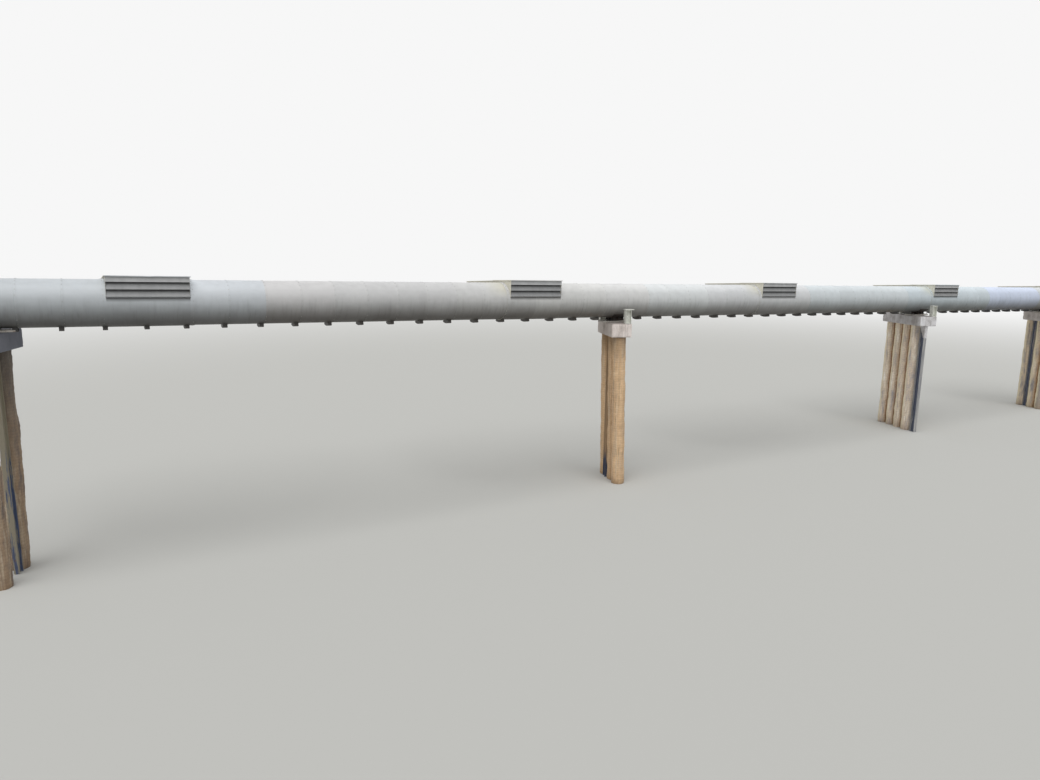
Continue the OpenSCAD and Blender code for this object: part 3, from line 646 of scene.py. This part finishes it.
ragged = add(tree, "VectorMath", {0: add(tree, "TexCoord").outputs["Object"], 1: (24.0, 24.0, 1.6)},
             operation="MULTIPLY")
ragged = add(tree, "TexNoise", {"Vector": ragged, "Scale": 1.0, "Detail": 6.0, "Roughness": 0.65})
left = add(tree, "Math", {0: dust.outputs["Red"], 1: ragged}, operation="SUBTRACT")
cover = add(tree, "MapRange", {0: left, 1: -0.02, 2: 0.03})
limit = add(tree, "Math", {0: dust.outputs["Green"], 1: -POST_HIGH, 2: xyz.outputs["Z"]},
            operation="MULTIPLY_ADD")
limit = add(tree, "Math", {0: ragged, 1: 1.2, 2: limit}, operation="MULTIPLY_ADD")
above = add(tree, "MapRange", {0: limit, 1: 0.5, 2: 0.7})
cover = add(tree, "Math", {0: cover, 1: above}, operation="MAXIMUM")
slate = add(tree, "MapRange", {0: xyz.outputs["X"], 1: PAST_FIRST[0], 2: PAST_FIRST[1], 4: 0.55})
near_face = add(tree, "MapRange", {0: normal.outputs["Y"], 1: -0.6, 2: -0.9, 4: 0.6})
beyond = add(tree, "MapRange", {0: xyz.outputs["X"], 1: PAST_SECOND[0], 2: PAST_SECOND[1]})
patchy = add(tree, "MapRange", {0: ragged, 1: 0.35, 2: 0.6, 3: 0.35, 4: 1.35})
near_face = add(tree, "Math", {0: near_face, 1: patchy}, operation="MULTIPLY")
pale = add(tree, "Math", {0: near_face, 1: beyond}, operation="MULTIPLY")
for amount, coat in ((slate, "#41434a"), (cover, dust_colour), (pale, "#b9b7b3")):
    colour = add(tree, "Mix", {0: amount, 6: colour, 7: coat}, data_type="RGBA")
wire(tree, colour, shader, "Base Color")
print("post finish ready:", post_paint.name)

# %% [markdown]
# Two small finishes are left. The insulation is mineral wool, a felt of fine yellow-brown fibres
# laid in blankets, seen only at the ends of the pipe: soft tufts with no shine at all. Its real
# fibres are far too fine to show, so they are drawn as tufts of about 17 mm.

# %% Mineral wool
wool, tree, shader = new_material("mineral_wool", 1.0)
place = add(tree, "TexCoord").outputs["Object"]
layer_place = add(tree, "VectorMath", {0: place, 1: (3.0, 1.0, 1.0)}, operation="MULTIPLY")
tufts = add(tree, "TexNoise", {"Vector": layer_place, "Scale": 60.0, "Detail": 8.0, "Roughness": 0.75})
fibres = add(tree, "ValToRGB", {0: tufts},
             stops=((0.3, "#6b5a3a"), (0.5, "#ad9868"), (0.7, "#cdbc90")))
wire(tree, fibres, shader, "Base Color")
bump = add(tree, "Bump", {"Height": tufts, "Distance": 0.004, "Strength": 0.9})
wire(tree, bump, shader, "Normal")
print("wool finish ready:", wool.name)

# %% [markdown]
# The screws and bolts are zinc plated in a bath, so they are true metal. A thin dull film makes
# small glints out of what would be mirrors. Its patches are 11 mm, about as wide as a washer, so
# that neighbouring screws glint a little differently.

# %% Zinc plating
zinc, tree, shader = new_material("dull_zinc_plating", 0.45, 1.0)
film = add(tree, "TexNoise", {"Vector": add(tree, "TexCoord").outputs["Object"], "Scale": 90.0,
                              "Detail": 4.0})
film_colour = add(tree, "ValToRGB", {0: film}, stops=((0.35, "#8d8c89"), (0.65, "#b9b9b6")))
wire(tree, film_colour, shader, "Base Color")
film_rough = add(tree, "MapRange", {0: film, 1: 0.3, 2: 0.7, 3: 0.35, 4: 0.6})
wire(tree, film_rough, shader, "Roughness")
print("zinc finish ready:", zinc.name)

# %% [markdown]
# Every construction node now takes the finish of its slot in the record. The sleeves and the
# hoods under the seams share a slot with their neighbours but have finishes of their own, so they
# are named: the hoods are dirtier, and the sleeves carry painted shade and a painted highlight.

# %% Give every node its finish
SLOTS = {"cladding_sheet": galvanised, "vent_sheet": vent_sheet, "carrier_steel": pipe_primer,
         "insulation_wool": wool, "cap_concrete": cap_concrete, "pile_concrete": pile_concrete,
         "post_steel": post_paint, "bearing_steel": sole_paint, "saddle_steel": saddle_paint,
         "guide_steel": guide_paint}
OWN = {"vent_sleeves": sleeve_sheet, "seam_flaps": hood_sheet}
for part in frame["record"]["subparts"]:
    mesh = frame["nodes"][part["node"]].data
    mesh.materials.clear()
    mesh.materials.append(OWN.get(part["node"], SLOTS[part["material_slot"]]))

# %% [markdown]
# The new pieces come next. Some start from the mesh of a construction node, which is a bag of
# loose triangles and is merged first.

# %% Helpers for the new pieces
def pick(*pieces):
    bpy.ops.object.select_all(action="DESELECT")
    for piece in pieces:
        piece.select_set(True)
    bpy.context.view_layer.objects.active = pieces[0]


def apply(piece, kind, **settings):
    modifier = piece.modifiers.new(kind.title(), kind)
    for name, value in settings.items():
        setattr(modifier, name, value)
    pick(piece)
    bpy.ops.object.modifier_apply(modifier=modifier.name)


def finish_piece(piece, material, slot, *nodes):
    piece.data.name = piece.name
    piece.data.materials.clear()
    piece.data.materials.append(material)
    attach(piece, "root")
    if nodes:
        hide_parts(*nodes)
    print(piece.name, "has", len(piece.data.polygons), "faces")


def merged_copy(node, name):
    piece = bpy.data.objects.new(name, frame["nodes"][node].data.copy())
    bpy.context.collection.objects.link(piece)
    pick(piece)
    bpy.ops.object.mode_set(mode="EDIT")
    bpy.ops.mesh.select_all(action="SELECT")
    bpy.ops.mesh.remove_doubles(threshold=0.0001)
    bpy.ops.object.mode_set(mode="OBJECT")
    return piece


# %% [markdown]
# Cast concrete has no sharp edge for long: knocks and frost take the arrises off, and the skin
# is never quite even. Each cast block is first remeshed into an even net of small faces, which
# can be worn away anywhere, unlike the few long faces of the construction model.

# %% An even net over each block
def even_net(node, name, size):
    piece = merged_copy(node, name)
    bpy.ops.object.mode_set(mode="EDIT")
    bpy.ops.mesh.separate(type="LOOSE")
    bpy.ops.object.mode_set(mode="OBJECT")
    blocks = list(bpy.context.selected_objects)
    for block in blocks:
        apply(block, "REMESH", mode="VOXEL", voxel_size=size)
    pick(piece, *blocks)
    if len(blocks) > 1:
        bpy.ops.object.join()
    return piece


def mesh_values(mesh, what, width):
    values = np.empty(len(mesh.vertices) * width, np.float32)
    mesh.vertices.foreach_get(what, values)
    return values.reshape(-1, width)


print("nets are made from", len(PIERS), "caps, as many groups of piles, and a haunch")

# %% [markdown]
# The bulge of the net finds the edges: a point on an edge stands out from the mean of its
# neighbours. Noise decides where a chip has come off, and slower noise gives lumps. Level faces
# aren't moved up or down, so caps still lie on piles and plates on caps, and nothing leaves the
# height of the node that the piece stands for.

# %% Wear of the cast concrete
TURN = Euler(ASKEW).to_matrix()
EDGE_GAIN, EDGE_START = 9, 0.3
LEVEL_FROM = 0.6


def wear(piece, node, size, chip, lumps, grit, keep_level):
    mesh = piece.data
    floor_z, top_z = (corner.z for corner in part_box(node))
    points = mesh_values(mesh, "co", 3).astype(float)
    normals = mesh_values(mesh, "normal", 3).astype(float)
    ends = np.empty(len(mesh.edges) * 2, np.int32)
    mesh.edges.foreach_get("vertices", ends)
    a, b = ends.reshape(-1, 2).T
    count = np.bincount(ends, minlength=len(points))[:, None].clip(1)
    around = np.zeros_like(points)
    np.add.at(around, a, points[b])
    np.add.at(around, b, points[a])
    bulge = (((points - around / count) * normals).sum(1) / size)[:, None]
    for _ in range(2):
        spread = np.zeros_like(bulge)
        np.add.at(spread, a, bulge[b])
        np.add.at(spread, b, bulge[a])
        bulge = (bulge + spread / count) / 2
    edge = (bulge[:, 0] * EDGE_GAIN - EDGE_START).clip(0, 1)
    seed = Vector((3.1, 7.7, 1.3))
    turned = [TURN @ Vector(p) for p in points]
    coarse = np.array([noise.fractal(p * 7 + seed, 1.0, 2.1, 2) for p in turned])
    fine = np.array([noise.fractal(p * 26 + seed, 0.8, 2.3, 2) for p in turned])
    broken = np.array([noise.noise(p * 21) for p in turned])
    depth = edge * (broken + 0.25).clip(0, 1) * chip + (coarse * lumps + fine * grit)
    move = -normals * depth[:, None]
    level = (np.abs(normals[:, 2]) > LEVEL_FROM) if keep_level else np.zeros(len(points), bool)
    move[level, 2] = 0
    moved = points + move
    moved[:, 2] = moved[:, 2].clip(floor_z, top_z)
    mesh.vertices.foreach_set("co", moved.astype(np.float32).ravel())
    mesh.update()
    pick(piece)
    bpy.ops.object.shade_smooth_by_angle(angle=math.radians(50))


print("noise turned by", [round(angle, 2) for angle in TURN.to_euler()])

# %% [markdown]
# The caps and the haunch come from smooth moulds, so they get small chips and hardly any lumps.

# %% Worn caps and haunch
CAP_NET = 0.011
for k in PIERS:
    cap = even_net("pier_%d_cap" % k, "pier_%d_cast_cap" % k, CAP_NET)
    wear(cap, "pier_%d_cap" % k, CAP_NET, 0.012, 0.0015, 0.001, True)
    finish_piece(cap, cap_concrete, "cap_concrete", "pier_%d_cap" % k)
haunch = even_net("pier_3_haunch", "pier_3_cast_haunch", CAP_NET)
wear(haunch, "pier_3_haunch", CAP_NET, 0.010, 0.002, 0.0015, True)
finish_piece(haunch, cap_concrete, "cap_concrete", "pier_3_haunch")

# %% [markdown]
# The piles stand close together, and between them brown dirt stays where rain never reaches, and
# shade falls. A fan of three rays from each point of the net finds whether another pile stands
# close. That number is kept as an attribute, which the finish of the piles reads for the dirt and
# for the painted shade alike.

# %% Shelter between the piles
REACH = 0.16
RAY_START = 0.008
FULL_SHELTER = 1.6
FAN = [Matrix.Rotation(math.radians(turn), 3, "Z") for turn in (-50, 0, 50)]


# how close other piles stand, used for dirt and for painted shade
def shelter(piece):
    mesh = piece.data
    points = mesh_values(mesh, "co", 3)
    normals = mesh_values(mesh, "normal", 3)
    tree = BVHTree.FromPolygons([tuple(p) for p in points.tolist()],
                                [tuple(f.vertices) for f in mesh.polygons])
    values = []
    for point, normal in zip(points.tolist(), normals.tolist()):
        point, normal = Vector(point), Vector(normal)
        hits = [tree.ray_cast(point + normal * RAY_START, turn @ normal, REACH)[3] for turn in FAN]
        closeness = [0.0 if far is None else 1 - far / REACH for far in hits]
        values.append(min(1.0, sum(closeness) / FULL_SHELTER))
    layer = mesh.attributes.new("shelter", "FLOAT", "POINT")
    layer.data.foreach_set("value", values)
    return sum(v > 0 for v in values) / len(values)


print("rays reach", REACH, "m")

# %% [markdown]
# The piles are the roughest part of all: sandy concrete with hollows, ridges and old form
# marks. They get the same treatment as the caps, with more lumps and more grit.

# %% Rough piles
PILE_NET = 0.0125
for k in PIERS:
    piles = even_net("pier_%d_piles" % k, "pier_%d_rough_piles" % k, PILE_NET)
    wear(piles, "pier_%d_piles" % k, PILE_NET, 0.014, 0.008, 0.004, True)
    print("part of pier", k, "in shelter:", round(shelter(piles), 2))
    finish_piece(piles, pile_concrete, "pile_concrete", "pier_%d_piles" % k)

# %% [markdown]
# The insulation is three blankets of mineral wool wound round the carrier pipe. Nearly all of
# it is hidden, but at the two open ends of the pipe its layers show, frayed and uneven. An open
# cylinder is made round the Z axis, both end rings are extruded inwards in steps, with grooves
# between the blankets, and bridged along the bore. It is laid on the pipe's line at the end.

# %% Wool wrap
WOOL_OUT, WOOL_IN = 0.3055, 0.2545
WOOL_LONG = SHEET * SHEETS - 0.016
STEPS = ((0.2905, 0.0), (0.2890, 0.008), (0.2875, 0.0), (0.2730, 0.001), (0.2715, 0.010),
         (0.2700, 0.002), (0.2565, 0.0), (WOOL_IN, 0.003))
bpy.ops.object.select_all(action="DESELECT")
bpy.ops.mesh.primitive_cylinder_add(vertices=120, radius=WOOL_OUT, depth=WOOL_LONG,
                                    end_fill_type="NOTHING")
wrap = bpy.context.object
wrap.name = "wool_wrap"
bpy.ops.object.mode_set(mode="EDIT")
bpy.ops.mesh.select_mode(type="EDGE")
bpy.ops.mesh.select_all(action="DESELECT")
bpy.ops.mesh.select_non_manifold()
radius, half = WOOL_OUT, WOOL_LONG / 2
for new_radius, sunk in STEPS:
    thin, new_half = new_radius / radius, WOOL_LONG / 2 - sunk
    bpy.ops.mesh.extrude_edges_move()
    bpy.ops.transform.resize(value=(thin, thin, new_half / half), center_override=(0, 0, 0))
    radius, half = new_radius, new_half
bpy.ops.mesh.bridge_edge_loops()
bpy.ops.mesh.select_all(action="SELECT")
bpy.ops.mesh.normals_make_consistent(inside=False)
bpy.ops.object.mode_set(mode="OBJECT")
for vertex in wrap.data.vertices:
    fray = noise.noise(vertex.co * 45) + 0.5 * noise.noise(vertex.co * 160)
    if math.hypot(vertex.co.x, vertex.co.y) < WOOL_OUT - 0.002:
        vertex.co.z -= math.copysign(0.0025 + 0.004 * fray, vertex.co.z)
wrap.data.transform(PIPE @ Matrix.Rotation(math.pi / 2, 4, "Y"))
finish_piece(wrap, wool, "insulation_wool", "insulation")

# %% [markdown]
# The roof of each vent box is two folded trays of thin sheet: the near one laps over the far
# one. The far tray follows the slope of the roof, and the near one falls a little less, so that
# its end rides over the other.

# %% Lines of the two trays
ROOF_T = 0.0028
ROOF_SLOPE = math.tan(math.radians(3))
NEAR_SIDE, FAR_SIDE = -0.315, 1.36
ROOF_TOP = 0.366
OVER, FAR_OVER, HEM = 0.014, 0.008, 0.009
JOINT, LAP, STEP_UP = 0.27, 0.045, 0.005
WAVE = 0.0014


def roof_line(y):
    return ROOF_TOP - (y - NEAR_SIDE) * ROOF_SLOPE


def near_line(y):
    rise = (roof_line(JOINT) + STEP_UP - ROOF_TOP) / (JOINT - NEAR_SIDE)
    return ROOF_TOP + (y - NEAR_SIDE) * rise


print("the roof falls", round(roof_line(NEAR_SIDE) - roof_line(FAR_SIDE), 3), "m")

# %% [markdown]
# Thin sheet is never flat, so a tray is modelled as an open grid. Its edges, all but the one at
# the lap, are extruded down to a hem, it is pushed a little up and down, and only then is it
# given its thickness.

# %% One roof tray
def tray(name, middle, half, start, end, line, open_end, push):
    bpy.ops.object.select_all(action="DESELECT")
    bpy.ops.mesh.primitive_grid_add(x_subdivisions=28, y_subdivisions=18, size=2)
    piece = bpy.context.object
    piece.name = name
    bpy.ops.object.mode_set(mode="EDIT")
    bpy.ops.mesh.select_mode(type="EDGE")
    bpy.ops.mesh.select_all(action="DESELECT")
    bpy.ops.object.mode_set(mode="OBJECT")
    mesh = piece.data
    for edge in mesh.edges:
        a, b = (mesh.vertices[i].co for i in edge.vertices)
        on_side = abs(a.x + b.x) > 1.999
        on_end = abs(a.y + b.y) > 1.999 and (a.y > 0) != (open_end > 0)
        edge.select = on_side or on_end
    bpy.ops.object.mode_set(mode="EDIT")
    bpy.ops.mesh.extrude_edges_move(TRANSFORM_OT_translate={"value": (0, 0, -1)})
    bpy.ops.object.mode_set(mode="OBJECT")
    for vertex in mesh.vertices:
        x, y = middle + vertex.co.x * half, start + (vertex.co.y + 1) / 2 * (end - start)
        wave = noise.noise(Vector((x * 4, y * 4, 0.0)))
        z = line(y) + ROOF_T + WAVE * (wave + 0.3) * (abs(vertex.co.x) < 0.98)
        z += push(vertex.co.x, vertex.co.y)
        vertex.co = (x, y, z - (HEM + ROOF_T) * (vertex.co.z < -0.5))
    apply(piece, "SOLIDIFY", thickness=ROOF_T, offset=-1.0)
    pick(piece)
    bpy.ops.object.shade_smooth_by_angle(angle=math.radians(30))
    return piece


print("hem of a tray:", HEM, "m, lap:", LAP, "m")

# %% [markdown]
# Two trays are joined for each roof and laid on the pipe's line. On the first vent the corner on
# the left has sprung up, and a knock has left a dent in the front edge. The other trays are only
# wavy.

# %% Roofs of the five vents
def sprung(u, v):
    corner = max(0.0, 1 - math.hypot((u + 1) * 1.6, (v + 1) * 1.2)) * 0.002
    dent = max(0.0, 1 - math.hypot(u * 6, (v + 1) * 4)) * 0.006
    return corner - dent


def unmarked(u, v):
    return 0.0


for k, middle in enumerate(VENTS, 1):
    near = tray("near", middle, VENT_HALF + OVER, NEAR_SIDE - OVER, JOINT + LAP, near_line, 1,
                sprung if k == 1 else unmarked)
    beyond = tray("beyond", middle, VENT_HALF + FAR_OVER, JOINT, FAR_SIDE + OVER, roof_line, -1,
                  unmarked)
    pick(near, beyond)
    bpy.ops.object.join()
    near.name = "vent_%d_roof_trays" % k
    near.data.transform(PIPE)
    finish_piece(near, vent_sheet, "vent_sheet", "vent_%d_roof" % k)

# %% [markdown]
# Thin sheet is held by self-drilling screws with a wide washer. One screw is modelled, with few
# faces because it is needed more than a thousand times: a six-sided washer whose top is inset
# and raised to a hexagon head.

# %% One screw
WASHER_R, WASHER_T, HEAD_HIGH = 0.0048, 0.0016, 0.0026
bpy.ops.object.select_all(action="DESELECT")
bpy.ops.mesh.primitive_cylinder_add(vertices=6, radius=WASHER_R, depth=WASHER_T, location=(0, 0, 0.0004))
screw = bpy.context.object
screw.name = "screw"
for face in screw.data.polygons:
    face.select = face.normal.z > 0.9
bpy.ops.object.mode_set(mode="EDIT")
bpy.ops.mesh.inset(thickness=0.0016)
bpy.ops.mesh.extrude_region_move(TRANSFORM_OT_translate={"value": (0, 0, HEAD_HIGH)})
bpy.ops.mesh.inset(thickness=0.0006)
bpy.ops.transform.translate(value=(0, 0, 0.0004))
bpy.ops.object.mode_set(mode="OBJECT")
bpy.ops.object.transform_apply(location=True, rotation=True, scale=True)
print("screw faces:", len(screw.data.polygons))

# %% [markdown]
# Rays find the exact spot on the sheet for each copy, and where a ray meets anything but sheet
# first, such as a saddle, no screw is set.

# %% Where screws can go
class Surface:
    """The skin of some objects, for rays that ask what they meet first."""

    def __init__(self, objects):
        points, faces, self.owner = [], [], []
        for thing in objects:
            start = len(points)
            points += [tuple(v.co) for v in thing.data.vertices]
            faces += [tuple(i + start for i in f.vertices) for f in thing.data.polygons]
            self.owner += [thing.name] * len(thing.data.polygons)
        self.tree = BVHTree.FromPolygons(points, faces)

    def spot(self, origin, direction, allowed):
        """The place on an allowed skin, turned so that Z stands on it, or None."""
        hit, normal, index, _ = self.tree.ray_cast(origin, direction)
        if hit is None or not self.owner[index].startswith(allowed):
            return None
        if normal.dot(direction) > -0.5:
            return None
        turn = normal.to_track_quat("Z", "Y").to_matrix().to_4x4()
        return Matrix.Translation(hit) @ turn


skin = Surface([node for node in frame["nodes"].values() if not node.name.endswith("_roof")])
print("skin faces:", len(skin.owner))

# %% [markdown]
# More than a thousand objects would be slow to handle, so all copies become one piece: the points
# of the first screw are moved to every place in turn and stacked up in a single mesh.

# %% One piece out of many copies
def set_copies(template, places, name, material, slot):
    points = np.array([tuple(v.co) + (1.0,) for v in template.data.vertices])
    faces = [tuple(f.vertices) for f in template.data.polygons]
    stack = np.concatenate([(points @ np.array(place).T)[:, :3] for place in places])
    count = len(points)
    mesh = bpy.data.meshes.new(name)
    mesh.from_pydata(stack.tolist(), [], [tuple(i + n * count for i in face)
                                          for n in range(len(places)) for face in faces])
    piece = bpy.data.objects.new(name, mesh)
    bpy.context.collection.objects.link(piece)
    finish_piece(piece, material, slot)


print("points in one screw:", len(screw.data.vertices))

# %% [markdown]
# Round each seam stand twenty-four screws, one to every eighty millimetres, a little past the
# edge of the lap. The sleeves under the vents have the same rings in their collars.

# %% Screws round the seams
ROUND = 24
RAY_FROM = 0.37
PAST_LAP, COLLAR = 0.009, 0.535


def ring(x, allowed):
    found = []
    for step in range(ROUND):
        angle = 2 * math.pi * (step + 0.5) / ROUND
        out = PIPE.to_3x3() @ Vector((0, math.sin(angle), math.cos(angle)))
        start = PIPE @ Vector((x, math.sin(angle) * RAY_FROM, math.cos(angle) * RAY_FROM))
        found.append(skin.spot(start, -out, allowed))
    return [place for place in found if place is not None]


lap_places = []
for joint in range(1, SHEETS):
    lap_places += ring(PIPE_START + SHEET * joint + PAST_LAP, "cladding")
set_copies(screw, lap_places, "lap_screws", zinc, "cladding_sheet")
collar_places = []
for middle in VENTS:
    for end in (-COLLAR, COLLAR):
        collar_places += ring(middle + end, "vent_sleeves")
set_copies(screw, collar_places, "collar_screws", zinc, "vent_sheet")

# %% [markdown]
# The vent boxes are screwed along the top of both louvred faces and of the two side walls.
# The rays come from outside the box, level with the pipe's slope.

# %% Screws of the vent boxes
FACE_SCREWS, FACE_START, FACE_STEP = 8, -0.455, 0.13
SIDE_SCREWS, SIDE_START, SIDE_STEP = 11, -0.26, 0.15
FACE_DROP, SIDE_DROP = 0.028, 0.024
vent_places = []
side = PIPE.to_3x3()
for middle in VENTS:
    for step in range(FACE_SCREWS):
        x = middle + FACE_START + FACE_STEP * step
        for y, way in ((-0.6, 1), (1.7, -1)):
            depth = NEAR_SIDE if way > 0 else FAR_SIDE
            z = roof_line(depth) - FACE_DROP
            vent_places.append(skin.spot(PIPE @ Vector((x, y, z)), side @ Vector((0, way, 0)), "vent"))
    for step in range(SIDE_SCREWS):
        y = SIDE_START + SIDE_STEP * step
        for way in (-1, 1):
            start = PIPE @ Vector((middle - way * 0.8, y, roof_line(y) - SIDE_DROP))
            vent_places.append(skin.spot(start, side @ Vector((way, 0, 0)), "vent"))
vent_places = [place for place in vent_places if place is not None]
set_copies(screw, vent_places, "vent_screws", zinc, "vent_sheet")
print("screws:", len(lap_places), len(collar_places), len(vent_places))

# %% [markdown]
# Each sole plate is held down by four anchors cast into the cap: a round washer, a hexagon nut
# with its corners turned off, and the end of the threaded rod above it. One anchor is modelled,
# and every edge that would catch light on the real one is bevelled.

# %% One anchor
bpy.ops.object.select_all(action="DESELECT")
bpy.ops.mesh.primitive_cylinder_add(vertices=20, radius=0.0105, depth=0.0028, location=(0, 0, 0.0010))
anchor = bpy.context.object
anchor.name = "anchor"
apply(anchor, "BEVEL", width=0.0005, segments=1)
bpy.ops.object.select_all(action="DESELECT")
bpy.ops.mesh.primitive_cylinder_add(vertices=6, radius=0.0090, depth=0.0085, location=(0, 0, 0.0064))
nut = bpy.context.object
for face in nut.data.polygons:
    face.select = face.normal.z > 0.9
bpy.ops.object.mode_set(mode="EDIT")
bpy.ops.mesh.bevel(offset=0.0012, segments=2, affect="EDGES")
bpy.ops.object.mode_set(mode="OBJECT")
bpy.ops.object.select_all(action="DESELECT")
bpy.ops.mesh.primitive_cylinder_add(vertices=12, radius=0.0050, depth=0.0200, location=(0, 0, 0.0120))
rod = bpy.context.object
apply(rod, "BEVEL", width=0.0008, segments=2)
pick(anchor, nut, rod)
bpy.ops.object.join()
bpy.ops.object.transform_apply(location=True, rotation=True, scale=True)
print("anchor faces:", len(anchor.data.polygons))

# %% [markdown]
# A ray straight down near each corner of the four plates finds the place of each copy. The screw
# and the anchor that were copied are then removed, because they ride on nothing.

# %% Anchors of the sole plates
FROM_EDGE = 0.028
ABOVE_PLATE = 0.02
anchor_places = []
for k in PIERS:
    low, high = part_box("pier_%d_bearing" % k)
    for x in (low.x + FROM_EDGE, high.x - FROM_EDGE):
        for y in (low.y + FROM_EDGE, high.y - FROM_EDGE):
            anchor_places.append(skin.spot(Vector((x, y, high.z + ABOVE_PLATE)),
                                           Vector((0, 0, -1)), "pier"))
anchor_places = [place for place in anchor_places if place is not None]
set_copies(anchor, anchor_places, "sole_plate_anchors", zinc, "bearing_steel")
for template in (screw, anchor):
    bpy.data.objects.remove(template)
print("anchors set:", len(anchor_places))
